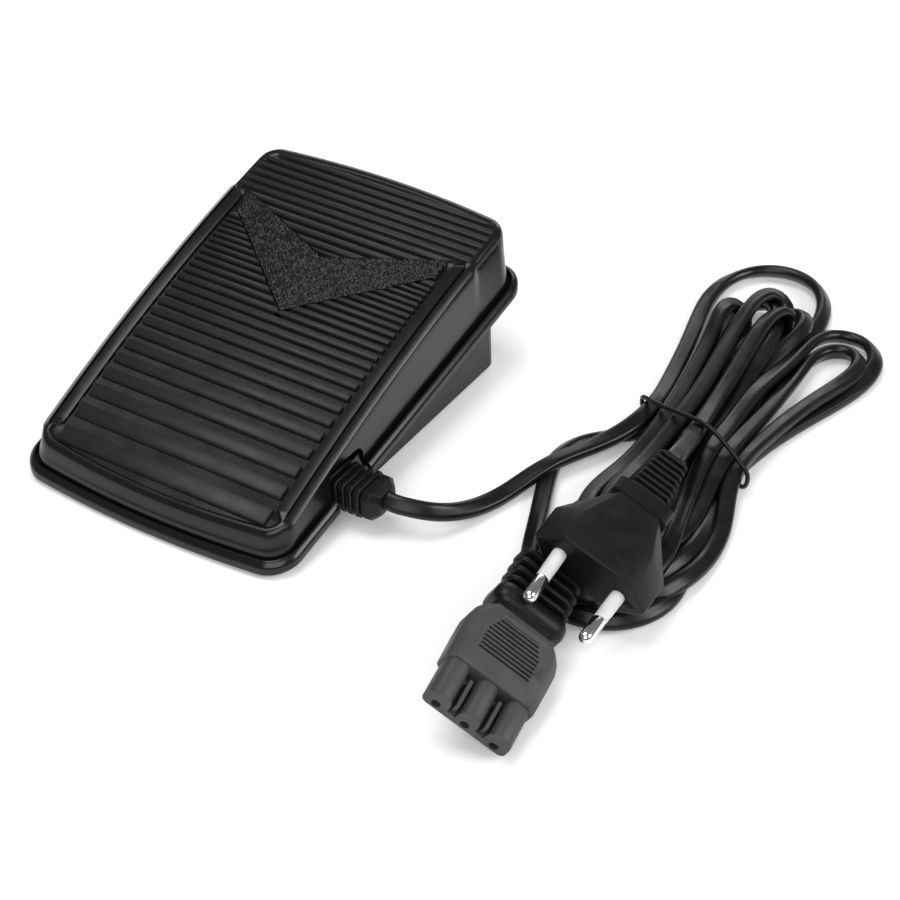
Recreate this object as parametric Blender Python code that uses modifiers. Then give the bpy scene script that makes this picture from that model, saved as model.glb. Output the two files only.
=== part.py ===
"""Sewing machine foot pedal with its cord set, as separate pieces on real joints.

Metres, +Z up. The pedal stands on z = 0 with its middle at x = y = 0. The heel is at -Y, the toe
at +Y, and the lead leaves on the +X side. The treadle is a cap that tilts on a pin at the heel.
"""

import math

import bmesh
import bpy
from mathutils import Euler, Matrix, Vector

MM = 0.001
GAP = 0.3                      # between pieces that touch, all lengths here in millimetres

# Treadle cap
HALF_WIDTH = 47.3              # outside of the lip
HALF_LENGTH = 62.85            # outside of the lip at its side, before the bow of the ends
END_BOW = 2.9
CORNER_RADIUS = 8.5
LIP_HEEL_Z = 1.1
LIP_SLOPE = 0.2027
LIP_HEIGHT = 3.85
TOP_HEEL_Z = 10.4
TOP_SLOPE = 0.446
TOP_CURVE = 0.001064
WALL = 2.2
TOP_THICKNESS = 3.6            # from the tread's highest surface to the cap's inside
RECESS_DEPTH = 1.2
TOP_INSET = 6.0
PANEL_INSET = 9.6
NOTCH_HALF_WIDTH = 9.0
NOTCH_TOP_Z = 21.0

# Tread bars, whose pitch falls smoothly towards the toe, then even ribs
FIRST_BAR_Y = -56.6
LAST_BAR_Y = 27.0
HEEL_PITCH = 8.1
PITCH_FADE = 0.0175            # per millimetre
BAR_SHARE = 0.58               # bar width over pitch
RIB_PITCH = 3.05
LAST_RIB_Y = 57.0
BAR_REACH = 36.0

# Raised chevron, its tip towards the heel
CHEVRON_TIP_Y = 2.9
CHEVRON_RISE = 0.78            # of its heel-side edge, along Y over X
CHEVRON_INNER_Y = 24.2
CHEVRON_INNER_RISE = 0.385
CHEVRON_HALF_SPAN = 35.5

# Hinge
PIVOT_Y = -50.4
PIVOT_Z = 7.5
PIN_RADIUS = 1.5
PIN_HALF_LENGTH = 37.0
EAR_X = 27.0
KNUCKLE_X = 33.0
EAR_THICKNESS = 4.0
EAR_RADIUS = 3.2

# Base tray
TRAY_HALF_WIDTH = 41.1
TRAY_HEEL_Y = -56.4
TRAY_TOE_Y = 53.5
TRAY_BOTTOM_Z = 1.1
TRAY_WALL = 2.0
TRAY_OVERLAP = 3.0             # how far its walls reach up behind the lip
FLOOR_Z = TRAY_BOTTOM_Z + TRAY_WALL
FOOT_RADIUS = 5.5
FOOT_X = 32.0
FOOT_Y = (-45.0, 40.0)

# Return springs
SPRING_X = 26.0
SPRING_Y = 36.0
SPRING_RADIUS = 4.2
SPRING_WIRE = 1.2
SPRING_TOP_Z = 38.6
SPRING_TURNS = 6
GUIDE_RADIUS = 2.4
GUIDE_TOP_Z = 28.0

# Electronics
BOARD_SIZE = (58.0, 42.0, 1.6)
BOARD_CENTRE = (0.0, 2.0)
BOARD_Z = 5.1
BOARD_SCREW_X = 25.0
BOARD_SCREW_Y = (-14.5, 18.5)
ON_BOARD_Z = BOARD_Z + BOARD_SIZE[2] + GAP
TRIAC_X = -18.0
TERMINAL_AT = (14.5, -11.5)
POT_TOP_Z = 17.0
PLUNGER_Y = 8.0
PLUNGER_RADIUS = 2.5
PLUNGER_BOTTOM_Z = 14.8
TIP_Z = 26.0                   # underside of the presser on the cap
TIP_RADIUS = 3.0

# Gland and leads
GLAND_Y = -28.0
GLAND_Z = 10.6
GLAND_ROOT_X = 36.2
GLAND_END_X = 57.8
GLAND_HALF_WIDTH = 6.6
GLAND_HALF_HEIGHT = 6.0
LEAD_DIAMETER = 4.6
INNER_LEAD_RADIUS = 2.1
CLAMP_X = 31.0
CLAMP_SCREW_OFFSET = 5.7       # from the lead's middle, along Y
CLAMP_THICKNESS = 1.6

# Cord set
HANK_MIDDLE = (116.6, 52.5)
HANK_HALF_LENGTH = 84.5
HANK_TURN = math.radians(3.0)
HANK_END_HALF_WIDTH = 32.0
HANK_WAIST_HALF_WIDTH = 23.0
HANK_WAIST_OFFSET = -11.0
HANK_TOP_Z = 11.5
HANK_BOTTOM_Z = 0.2
TIE_CENTRE = (116.6, 41.0)
TIE_TURN = math.radians(-18.0)
TIE_HALF_WIDTH = 27.6
TIE_RADIUS = 0.6

PLUG_FACE = Vector((126.4, -35.4, 20.0))
PLUG_TURN = Euler((math.radians(-3.0), math.radians(-25.5), math.radians(185.0)))
PIN_SPACING = 18.2
PIN_LENGTH = 19.0
PIN_METAL_RADIUS = 2.0

CONNECTOR_NOSE = Vector((123.3, -89.9, 9.9))
CONNECTOR_TURN = Euler((math.radians(-7.0), math.radians(-33.5), math.radians(193.0)))
HOLE_PITCH = 9.0

LEAD_ROUTE = (
    (58.1, -28.0, 10.6), (61.4, -28.1, 10.4), (64.8, -27.5, 10.0), (68.2, -25.6, 9.3), (71.0, -22.3, 8.3),
    (73.2, -17.8, 7.0),
    (75.2, -12.0, 5.6), (77.2, -5.5, 4.3), (79.4, 1.2, 3.3), (81.7, 8.0, 2.7), (84.0, 14.6, 2.6),
    (86.3, 21.2, 2.6), (88.7, 27.7, 2.7), (90.9, 33.8, 2.8),
)
MAINS_ROUTE = ((122.95, 15.3, 22.4), (122.6, 19.0, 22.1), (121.6, 24.0, 20.4), (120.2, 29.5, 17.2), (119.2, 34.0, 14.4))


def clear_scene():
    for obj in list(bpy.data.objects):
        bpy.data.objects.remove(obj, do_unlink=True)


def collection(name):
    made = bpy.data.collections.new(name)
    bpy.context.scene.collection.children.link(made)
    return made


def material(name, colour, roughness, metallic=0.0):
    made = bpy.data.materials.new(name)
    made.use_nodes = True
    shader = made.node_tree.nodes["Principled BSDF"]
    shader.inputs["Base Color"].default_value = (*colour, 1.0)
    shader.inputs["Roughness"].default_value = roughness
    shader.inputs["Metallic"].default_value = metallic
    return made


def top_z(y):
    """Height of the tread's highest surface at y."""
    run = y + HALF_LENGTH
    return TOP_HEEL_Z + TOP_SLOPE * run - TOP_CURVE * run * run


def lip_z(y):
    """Height of the lip's lower edge at y."""
    return LIP_HEEL_Z + LIP_SLOPE * (y + HALF_LENGTH)


def obj_from(bm, name, group, mat, angle=30.0):
    bmesh.ops.recalc_face_normals(bm, faces=bm.faces)
    if bm.calc_volume(signed=True) < 0:
        bmesh.ops.reverse_faces(bm, faces=bm.faces)
    mesh = bpy.data.meshes.new(name)
    bm.to_mesh(mesh)
    bm.free()
    mesh.shade_smooth()
    mesh.set_sharp_from_angle(angle=math.radians(angle))
    mesh.materials.append(mat)
    made = bpy.data.objects.new(name, mesh)
    group.objects.link(made)
    return made


def box(size, centre, turn=None):
    bm = bmesh.new()
    bmesh.ops.create_cube(bm, size=1.0)
    bmesh.ops.scale(bm, vec=[side * MM for side in size], verts=bm.verts)
    if turn:
        bmesh.ops.rotate(bm, matrix=turn.to_matrix(), verts=bm.verts)
    bmesh.ops.translate(bm, vec=Vector(centre) * MM, verts=bm.verts)
    return bm


def rod(radius, start, end, sides=16, end_radius=None):
    """A solid cylinder or cone from start to end."""
    start, end = Vector(start) * MM, Vector(end) * MM
    bm = bmesh.new()
    bmesh.ops.create_cone(
        bm, cap_ends=True, segments=sides, radius1=radius * MM,
        radius2=(radius if end_radius is None else end_radius) * MM, depth=(end - start).length,
    )
    turn = Vector((0, 0, 1)).rotation_difference(end - start).to_matrix()
    bmesh.ops.rotate(bm, matrix=turn, verts=bm.verts)
    bmesh.ops.translate(bm, vec=(start + end) / 2, verts=bm.verts)
    return bm


def loft(rings, close="fan"):
    """A closed skin over rings of equal length. "pairs" closes the ends across, for a curved top."""
    bm = bmesh.new()
    rows = [[bm.verts.new(Vector(point) * MM) for point in ring] for ring in rings]
    count = len(rows[0])
    for low, high in zip(rows, rows[1:]):
        for i in range(count):
            j = (i + 1) % count
            bm.faces.new((low[i], low[j], high[j], high[i]))
    for row in (rows[0], rows[-1]):
        if close == "fan":
            bm.faces.new(row)
            continue
        bm.faces.new((row[0], row[1], row[-1]))
        for i in range(1, count // 2 - 1):
            bm.faces.new((row[i], row[i + 1], row[-i - 1], row[-i]))
        half = count // 2
        bm.faces.new((row[half - 1], row[half], row[half + 1]))
    bmesh.ops.triangulate(bm, faces=bm.faces)
    return bm


def joined(target, pieces, operation, cutters, hidden_material):
    """Applies one Boolean with each bmesh of pieces to target."""
    for number, bm in enumerate(pieces):
        helper = obj_from(bm, f"{target.name}_{operation.lower()}_{number}", cutters, hidden_material)
        helper.hide_render = True
        helper.display_type = "WIRE"
        modifier = target.modifiers.new(f"{operation.lower()}_{number}", "BOOLEAN")
        modifier.operation = operation
        modifier.object = helper
        modifier.solver = "EXACT"


def plan_outline(half_width, heel_y, toe_y, radius, bow, side_steps=8, corner_steps=4, end_steps=4):
    """(x, y) points of a rounded rectangle with bowed ends, from the heel's middle, right side first."""
    right = []
    straight = half_width - radius
    for i in range(end_steps):
        right.append((straight * i / end_steps, heel_y))
    for i in range(corner_steps + 1):
        turn = math.pi / 2 * i / corner_steps
        right.append((straight + radius * math.sin(turn), heel_y + radius * (1 - math.cos(turn))))
    for i in range(1, side_steps):
        right.append((half_width, heel_y + radius + (toe_y - heel_y - 2 * radius) * i / side_steps))
    for i in range(corner_steps + 1):
        turn = math.pi / 2 * i / corner_steps
        right.append((straight + radius * math.cos(turn), toe_y - radius * (1 - math.sin(turn))))
    for i in range(1, end_steps + 1):
        right.append((straight * (1 - i / end_steps), toe_y))
    middle = (heel_y + toe_y) / 2
    bowed = []
    for x, y in right:
        shift = bow * (1 - (x / half_width) ** 2)
        bowed.append((x, y + math.copysign(shift, y - middle)))
    return bowed + [(-x, y) for x, y in bowed[-2:0:-1]]


def cap_ring(inset, height):
    """One ring of the treadle cap, at height(y)."""
    outline = plan_outline(
        HALF_WIDTH - inset, -HALF_LENGTH + inset, HALF_LENGTH - inset * 1.15,
        max(CORNER_RADIUS - inset * 0.7, 1.2), END_BOW,
    )
    return [(x, y, height(y)) for x, y in outline]


def bar_list():
    """(y, width) of every cross bar and rib from heel to toe."""
    bars = []
    y = FIRST_BAR_Y
    while y < LAST_RIB_Y:
        pitch = RIB_PITCH
        if y < LAST_BAR_Y:
            pitch = HEEL_PITCH * math.exp(-PITCH_FADE * (y - FIRST_BAR_Y))
        bars.append((y + pitch * BAR_SHARE / 2, pitch * BAR_SHARE))
        y += pitch
    return bars


def bar_spans(y, width):
    """(x0, x1) stretches of a bar, left out where the chevron crosses it."""
    outer = (y + width / 2 - CHEVRON_TIP_Y + 0.5) / CHEVRON_RISE
    inner = (y - width / 2 - CHEVRON_INNER_Y - 0.5) / CHEVRON_INNER_RISE
    if outer <= 0 or inner >= CHEVRON_HALF_SPAN:
        return [(-BAR_REACH, BAR_REACH)]
    spans = []
    if outer < BAR_REACH - 2:
        spans += [(-BAR_REACH, -outer), (outer, BAR_REACH)]
    if inner > 2:
        spans.append((-inner, inner))
    return spans


def chevron():
    """The raised chevron, lofted across the tread."""
    rings = []
    stations = 12
    for i in range(stations + 1):
        x = CHEVRON_HALF_SPAN * (2 * i / stations - 1)
        low = CHEVRON_TIP_Y + CHEVRON_RISE * abs(x)
        high = CHEVRON_INNER_Y + CHEVRON_INNER_RISE * abs(x)
        across = (low, (low + high) / 2, high)
        rings.append([(x, y, top_z(y) - 0.1) for y in across]
                     + [(x, y, top_z(y) - RECESS_DEPTH - 1.0) for y in across[::-1]])
    return loft(rings)


def tread_bar(x0, x1, y, width):
    """A low box on the recessed panel, its top level with the tread's highest surface."""
    slope = math.atan(TOP_SLOPE - 2 * TOP_CURVE * (y + HALF_LENGTH))
    height = RECESS_DEPTH + 1.0
    centre = ((x0 + x1) / 2, y, top_z(y) - height / 2 - 0.05)
    return box((x1 - x0, width, height), centre, Euler((slope, 0, 0)))


def treadle_cap(parts, cutters, mat):
    rings = [
        cap_ring(WALL, lip_z),
        cap_ring(WALL + 2.2, lambda y: lip_z(y) + LIP_HEIGHT + 0.4),
        cap_ring(WALL + 4.4, lambda y: top_z(y) - TOP_THICKNESS),
    ]
    outer = [
        cap_ring(PANEL_INSET + 0.4, lambda y: top_z(y) - RECESS_DEPTH),
        cap_ring(PANEL_INSET, top_z),
        cap_ring(TOP_INSET, top_z),
        cap_ring(4.4, lambda y: top_z(y) - 0.9),
        cap_ring(3.8, lambda y: top_z(y) - 2.2),
        cap_ring(2.2, lambda y: lip_z(y) + LIP_HEIGHT - 0.2),
        cap_ring(1.2, lambda y: lip_z(y) + LIP_HEIGHT),
        cap_ring(0.6, lambda y: lip_z(y) + LIP_HEIGHT - 0.7),
        cap_ring(0.0, lip_z),
    ]
    cap = obj_from(loft(rings[::-1] + outer[::-1], "pairs"), "treadle_cap", parts, mat)
    bars = [tread_bar(x0, x1, y, width) for y, width in bar_list() for x0, x1 in bar_spans(y, width)]
    bars.append(chevron())
    merged = bmesh.new()
    for bm in bars:
        spare = bpy.data.meshes.new("bar")
        bm.to_mesh(spare)
        bm.free()
        merged.from_mesh(spare)
        bpy.data.meshes.remove(spare)
    holders = []
    for side in (-1, 1):
        x = side * KNUCKLE_X
        top = top_z(PIVOT_Y) - TOP_THICKNESS + 1.2
        holders.append(box(
            (EAR_THICKNESS, 2 * EAR_RADIUS - 1.0, top - PIVOT_Z - 0.4), (x, PIVOT_Y, (top + PIVOT_Z + 0.4) / 2)))
        holders.append(rod(
            EAR_RADIUS, (x - EAR_THICKNESS / 2, PIVOT_Y, PIVOT_Z), (x + EAR_THICKNESS / 2, PIVOT_Y, PIVOT_Z)))
        holders.append(rod(3.4, (side * 12, PLUNGER_Y, TIP_Z + 5.0), (side * 12, PLUNGER_Y, top_z(PLUNGER_Y) - 2.6)))
    joined(cap, [merged] + holders, "UNION", cutters, mat)
    reach = PIN_HALF_LENGTH + 3
    cuts = [
        rod(PIN_RADIUS + GAP, (-reach, PIVOT_Y, PIVOT_Z), (reach, PIVOT_Y, PIVOT_Z)),
        box((16, 2 * NOTCH_HALF_WIDTH, NOTCH_TOP_Z + 5), (HALF_WIDTH - 4.0, GLAND_Y, (NOTCH_TOP_Z - 5) / 2)),
    ]
    for side in (-1, 1):
        cuts.append(rod(1.5, (side * 12, PLUNGER_Y, TIP_Z), (side * 12, PLUNGER_Y, TIP_Z + 9.0), 10))
    joined(cap, cuts, "DIFFERENCE", cutters, mat)


def base_tray(parts, cutters, mat):
    def ring(inset, height):
        outline = plan_outline(
            TRAY_HALF_WIDTH - inset, TRAY_HEEL_Y + inset, TRAY_TOE_Y - inset, 3.0 - inset * 0.7, 0.0, 6, 3, 1)
        return [(x, y, height(y)) for x, y in outline]

    def rim(y):
        return lip_z(y) + TRAY_OVERLAP

    rings = [
        ring(0.0, lambda y: TRAY_BOTTOM_Z), ring(0.0, rim),
        ring(TRAY_WALL, rim), ring(TRAY_WALL, lambda y: FLOOR_Z),
    ]
    tray = obj_from(loft(rings), "base_tray", parts, mat)
    added = []
    for side in (-1, 1):
        x = side * EAR_X
        added.append(box(
            (EAR_THICKNESS, 2 * EAR_RADIUS - 1.0, PIVOT_Z - FLOOR_Z + 0.6),
            (x, PIVOT_Y, (PIVOT_Z - 0.4 + FLOOR_Z - 1) / 2)))
        added.append(rod(
            EAR_RADIUS, (x - EAR_THICKNESS / 2, PIVOT_Y, PIVOT_Z), (x + EAR_THICKNESS / 2, PIVOT_Y, PIVOT_Z)))
        added.append(rod(
            GUIDE_RADIUS, (side * SPRING_X, SPRING_Y, FLOOR_Z - 1), (side * SPRING_X, SPRING_Y, GUIDE_TOP_Z), 12,
            GUIDE_RADIUS - 0.4))
        for y in BOARD_SCREW_Y:
            added.append(rod(3.0, (side * BOARD_SCREW_X, y, FLOOR_Z - 1), (side * BOARD_SCREW_X, y, BOARD_Z - GAP), 12))
        screw_y = GLAND_Y + side * CLAMP_SCREW_OFFSET
        added.append(rod(
            3.0, (CLAMP_X, screw_y, FLOOR_Z - 1), (CLAMP_X, screw_y, GLAND_Z + INNER_LEAD_RADIUS), 12))
    joined(tray, added, "UNION", cutters, mat)
    reach = EAR_X + 6
    cuts = [
        rod(PIN_RADIUS + GAP, (-reach, PIVOT_Y, PIVOT_Z), (reach, PIVOT_Y, PIVOT_Z)),
        box((8, 2 * 4.0, 20), (TRAY_HALF_WIDTH - 1, GLAND_Y, GLAND_Z - 3.7 + 10)),
    ]
    for side in (-1, 1):
        screw_y = GLAND_Y + side * CLAMP_SCREW_OFFSET
        cuts.append(rod(1.5, (CLAMP_X, screw_y, FLOOR_Z + 1.5), (CLAMP_X, screw_y, 30), 10))
        for y in BOARD_SCREW_Y:
            cuts.append(rod(1.5, (side * BOARD_SCREW_X, y, TRAY_BOTTOM_Z + 1.2), (side * BOARD_SCREW_X, y, 12), 10))
    joined(tray, cuts, "DIFFERENCE", cutters, mat)


def screw(name, parts, mat, at, head_z, shank_bottom_z, radius=1.2, up=1, head_height=1.6):
    """A pan head machine screw. With up=-1 its head is below and its shank points up."""
    x, y = at
    height = head_height * up
    profile = [(0.0, head_z + height), (1.8, head_z + height), (2.6, head_z + height * 0.55), (2.6, head_z),
               (radius, head_z), (radius, shank_bottom_z), (0.0, shank_bottom_z)]
    turned(name, parts, mat, profile if up > 0 else profile[::-1], (x, y), 12)


def turned(name, parts, mat, profile, at, steps=24):
    """A solid turned about a vertical axis, from (radius, z) points that run top to bottom."""
    bm = bmesh.new()
    points = [bm.verts.new((radius * MM, 0.0, z * MM)) for radius, z in profile]
    for first, second in zip(points, points[1:]):
        bm.edges.new((first, second))
    mesh = bpy.data.meshes.new(name)
    bm.to_mesh(mesh)
    bm.free()
    mesh.materials.append(mat)
    made = bpy.data.objects.new(name, mesh)
    made.location = (at[0] * MM, at[1] * MM, 0.0)
    parts.objects.link(made)
    spin = made.modifiers.new("spin", "SCREW")
    spin.steps = steps
    spin.render_steps = steps
    spin.use_merge_vertices = True
    spin.merge_threshold = 0.00001
    return made


def tube(name, parts, mat, points, radius, resolution=2):
    """A round cord or wire with closed ends through points."""
    data = bpy.data.curves.new(name, "CURVE")
    data.dimensions = "3D"
    data.bevel_depth = radius * MM
    data.bevel_resolution = resolution
    data.use_fill_caps = True
    spline = data.splines.new("POLY")
    spline.points.add(len(points) - 1)
    for slot, point in zip(spline.points, points):
        slot.co = (*(Vector(point) * MM), 1.0)
    data.materials.append(mat)
    made = bpy.data.objects.new(name, data)
    parts.objects.link(made)
    return made


def smooth(route, step):
    """Points about step apart on a Catmull-Rom curve through route."""
    knots = [Vector(point) for point in route]
    knots = [2 * knots[0] - knots[1]] + knots + [2 * knots[-1] - knots[-2]]
    found = []
    for a, b, c, d in zip(knots, knots[1:], knots[2:], knots[3:]):
        count = max(1, round((c - b).length / step))
        for i in range(count):
            t = i / count
            found.append(0.5 * (2 * b + (c - a) * t + (2 * a - 5 * b + 4 * c - d) * t ** 2
                                + (3 * b - a - 3 * c + d) * t ** 3))
    return found + [knots[-2]]


def hinge_pin(parts, mat):
    obj_from(rod(PIN_RADIUS, (-PIN_HALF_LENGTH, PIVOT_Y, PIVOT_Z), (PIN_HALF_LENGTH, PIVOT_Y, PIVOT_Z)),
             "hinge_pin", parts, mat)


def feet(parts, mat):
    for number, (x, y) in enumerate((sx * FOOT_X, y) for y in FOOT_Y for sx in (-1, 1)):
        profile = [(0.0, TRAY_BOTTOM_Z - GAP), (FOOT_RADIUS, TRAY_BOTTOM_Z - GAP), (FOOT_RADIUS - 0.4, 0.0), (0.0, 0.0)]
        turned(f"rubber_foot_{number + 1}", parts, mat, profile, (x, y), 20)


def springs(parts, mat):
    bottom = FLOOR_Z + GAP + SPRING_WIRE / 2
    for name, side in (("return_spring_left", -1), ("return_spring_right", 1)):
        points = []
        steps = SPRING_TURNS * 10
        for i in range(steps + 1):
            angle = 2 * math.pi * i / 10
            share = min(max((i - 5) / (steps - 10), 0.0), 1.0)
            points.append((side * SPRING_X + SPRING_RADIUS * math.cos(angle),
                           SPRING_Y + SPRING_RADIUS * math.sin(angle),
                           bottom + i * 0.012 + share * (SPRING_TOP_Z - bottom - 1.4)))
        tube(name, parts, mat, points, SPRING_WIRE / 2, 1)


def torus(major, minor, centre, turns=12, sides=8):
    """A closed ring lying flat."""
    bm = bmesh.new()
    rows = []
    for i in range(turns):
        turn = 2 * math.pi * i / turns
        row = []
        for j in range(sides):
            around = 2 * math.pi * j / sides
            reach = major + minor * math.cos(around)
            point = Vector((reach * math.cos(turn), reach * math.sin(turn), minor * math.sin(around)))
            row.append(bm.verts.new((point + Vector(centre)) * MM))
        rows.append(row)
    for low, high in zip(rows, rows[1:] + rows[:1]):
        for j in range(sides):
            bm.faces.new((low[j], high[j], high[(j + 1) % sides], low[(j + 1) % sides]))
    return bm


def on_board(size, x, y, lift=0.0):
    """A box that stands on the board, or lift above it."""
    return box(size, (x, y, ON_BOARD_Z + lift + size[2] / 2))


def electronics(parts, cutters, mats):
    board = obj_from(box(BOARD_SIZE, (*BOARD_CENTRE, BOARD_Z + BOARD_SIZE[2] / 2)), "circuit_board", parts,
                     mats["board"])
    screws = [(side * BOARD_SCREW_X, y) for side in (-1, 1) for y in BOARD_SCREW_Y]
    joined(board, [rod(1.5, (x, y, 0), (x, y, 12), 10) for x, y in screws], "DIFFERENCE", cutters, mats["board"])
    for number, at in enumerate(screws):
        screw(f"board_screw_{number + 1}", parts, mats["steel"], at, ON_BOARD_Z, TRAY_BOTTOM_Z + 1.6)
    pot = obj_from(on_board((16, 13, POT_TOP_Z - ON_BOARD_Z), 0, PLUNGER_Y), "speed_potentiometer", parts,
                   mats["component"])
    joined(pot, [rod(PLUNGER_RADIUS + GAP, (0, PLUNGER_Y, ON_BOARD_Z + 0.9), (0, PLUNGER_Y, 30))], "DIFFERENCE",
           cutters, mats["component"])
    obj_from(on_board((2.0, 24, 13.5), TRIAC_X - 3.5, 0), "heat_sink", parts, mats["aluminium"])
    triac = obj_from(on_board((4.4, 10, 9), TRIAC_X, 0, 3.1), "triac", parts, mats["component"])
    legs = [on_board((0.8, 0.9, 4.0), TRIAC_X, leg * 2.54) for leg in (-1, 0, 1)]
    joined(triac, legs, "UNION", cutters, mats["component"])
    obj_from(on_board((7.5, 15, 11), -12.5, 14.0), "film_capacitor", parts, mats["yellow"])
    obj_from(torus(5.6, 2.6, (18.0, 10.0, ON_BOARD_Z + 2.6)), "choke_coil", parts, mats["copper"])
    obj_from(rod(1.3, (-8, -14, ON_BOARD_Z + 1.6), (2, -14, ON_BOARD_Z + 1.6), 12), "gate_resistor", parts, mats["tan"])
    block = obj_from(on_board((13, 9, 9), *TERMINAL_AT), "terminal_block", parts, mats["green"])
    block_x, block_y = TERMINAL_AT
    entry_z = ON_BOARD_Z + 3.4
    entries = [block_x + side * 3.2 for side in (-1, 1)]
    joined(block, [rod(1.9, (x, block_y - 6.5, entry_z), (x, block_y + 1.0, entry_z), 10) for x in entries],
           "DIFFERENCE", cutters, mats["green"])
    start_x = CLAMP_X - 7.5
    for name, side, entry_x in zip(("live_wire", "neutral_wire"), (-1, 1), entries):
        start_y = GLAND_Y + side * 1.1
        route = [(start_x, start_y, GLAND_Z), (start_x - 3.0, start_y + 0.6, GLAND_Z),
                 (entry_x + 1.6, GLAND_Y + 6.5, GLAND_Z - 0.2), (entry_x, block_y - 6.0, entry_z),
                 (entry_x, block_y - 0.5, entry_z)]
        tube(name, parts, mats["wire"], smooth(route, 2.5), 0.8, 1)


def plunger(parts, mat):
    profile = [(0.0, TIP_Z - GAP), (PLUNGER_RADIUS - 0.5, TIP_Z - GAP), (PLUNGER_RADIUS, TIP_Z - GAP - 0.5),
               (PLUNGER_RADIUS, PLUNGER_BOTTOM_Z), (0.0, PLUNGER_BOTTOM_Z)]
    turned("speed_plunger", parts, mat, profile, (0.0, PLUNGER_Y), 20)


def presser(parts, cutters, mats):
    """The bracket under the cap that pushes the plunger, and its two screws."""
    flange = obj_from(box((33, 9, 2.4), (0, PLUNGER_Y, TIP_Z + 5.0 - GAP - 1.2)), "presser_bracket", parts, mats["grey"])
    tip = rod(TIP_RADIUS, (-5, PLUNGER_Y, TIP_Z + TIP_RADIUS), (5, PLUNGER_Y, TIP_Z + TIP_RADIUS))
    joined(flange, [tip], "UNION", cutters, mats["grey"])
    holes = [rod(1.5, (side * 12, PLUNGER_Y, TIP_Z - 3), (side * 12, PLUNGER_Y, TIP_Z + 9), 10) for side in (-1, 1)]
    joined(flange, holes, "DIFFERENCE", cutters, mats["grey"])
    for name, side in (("bracket_screw_left", -1), ("bracket_screw_right", 1)):
        screw(name, parts, mats["steel"], (side * 12, PLUNGER_Y), TIP_Z + 2.3 - GAP, TIP_Z + 8.4, up=-1)


def chamfered(half_x, half_z, cut):
    """An eight-sided section about its own middle."""
    return [(half_x, half_z - cut), (half_x - cut, half_z), (-half_x + cut, half_z), (-half_x, half_z - cut),
            (-half_x, -half_z + cut), (-half_x + cut, -half_z), (half_x - cut, -half_z), (half_x, -half_z + cut)]


def sections_along_y(sections):
    """Rings for loft from (y, half_x, half_z, cut) sections."""
    return [[(x, y, z) for x, z in chamfered(half_x, half_z, cut)] for y, half_x, half_z, cut in sections]


def ribbed(start, end, first, last, ribs, depth=1.0, cut_share=0.4):
    """Sections of a tapering ribbed strain relief between start and end along Y."""
    sections = []
    pitch = (end - start) / ribs
    for i in range(ribs):
        for offset, drop in ((0.0, depth), (0.18, depth), (0.3, 0.0), (0.86, 0.0), (1.0, depth)):
            share = (i + offset) / ribs
            half_x = first[0] + (last[0] - first[0]) * share - drop
            half_z = first[1] + (last[1] - first[1]) * share - drop
            if offset < 1.0 or i == ribs - 1:
                sections.append((start + (i + offset) * pitch, half_x, half_z, min(half_x, half_z) * cut_share))
    return sections


def gland(parts, mat):
    """The lead's strain relief: a flange inside the tray's wall, ribs, and a chamfered end block."""
    turn = Matrix.Rotation(-math.pi / 2, 4, "Z")
    length = GLAND_END_X - GLAND_ROOT_X
    full = (GLAND_HALF_WIDTH, GLAND_HALF_HEIGHT)
    sections = [(0.0, 6.0, 5.2, 1.5), (2.4, 6.0, 5.2, 1.5), (2.4 + 0.01, 3.5, 3.2, 1.2), (5.6, 3.5, 3.2, 1.2)]
    sections += [(5.6 + 0.01, 4.6, 4.2, 1.6)]
    sections += ribbed(5.9, length - 6.4, full, full, 5, 1.2, 0.42)
    sections += [(length - 6.2, *full, 2.6), (length - 3.0, *full, 2.6), (length, 3.9, 3.4, 1.5)]
    made = obj_from(loft(sections_along_y(sections)), "cord_gland", parts, mat)
    made.matrix_world = Matrix.Translation(Vector((GLAND_ROOT_X, GLAND_Y, GLAND_Z)) * MM) @ turn
    return made


def cord_clamp(parts, cutters, mats):
    tube("inner_lead", parts, mats["cord"],
         [(x, GLAND_Y, GLAND_Z) for x in (GLAND_ROOT_X - GAP, CLAMP_X, CLAMP_X - 7.2)], INNER_LEAD_RADIUS)
    bottom = GLAND_Z + INNER_LEAD_RADIUS + GAP
    screws = [(CLAMP_X, GLAND_Y + side * CLAMP_SCREW_OFFSET) for side in (-1, 1)]
    bar = obj_from(box((6, 17.4, CLAMP_THICKNESS), (CLAMP_X, GLAND_Y, bottom + CLAMP_THICKNESS / 2)),
                   "cord_clamp", parts, mats["grey"])
    joined(bar, [rod(1.5, (x, y, 5), (x, y, 25), 10) for x, y in screws], "DIFFERENCE", cutters, mats["grey"])
    for number, at in enumerate(screws):
        screw(f"clamp_screw_{number + 1}", parts, mats["steel"], at, bottom + CLAMP_THICKNESS + GAP,
              FLOOR_Z + 2.0, head_height=1.2)


def hank_outline(grow=0.0):
    """(x, y) of the bound hank: two round lobes with a waist under the tie."""
    points = []
    steps = 22
    for side in (1, -1):
        for i in range(steps):
            along = -math.cos(math.pi * i / steps) * side
            s = along * HANK_HALF_LENGTH
            waist = math.exp(-((s - HANK_WAIST_OFFSET) / 34.0) ** 2)
            half = HANK_END_HALF_WIDTH - (HANK_END_HALF_WIDTH - HANK_WAIST_HALF_WIDTH) * waist
            half *= math.sqrt(max(0.0, 1 - abs(along) ** 5)) * side
            x = half + math.copysign(grow, half)
            points.append((
                HANK_MIDDLE[0] + x * math.cos(HANK_TURN) - s * math.sin(HANK_TURN),
                HANK_MIDDLE[1] + x * math.sin(HANK_TURN) + s * math.cos(HANK_TURN)))
    return points


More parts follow.
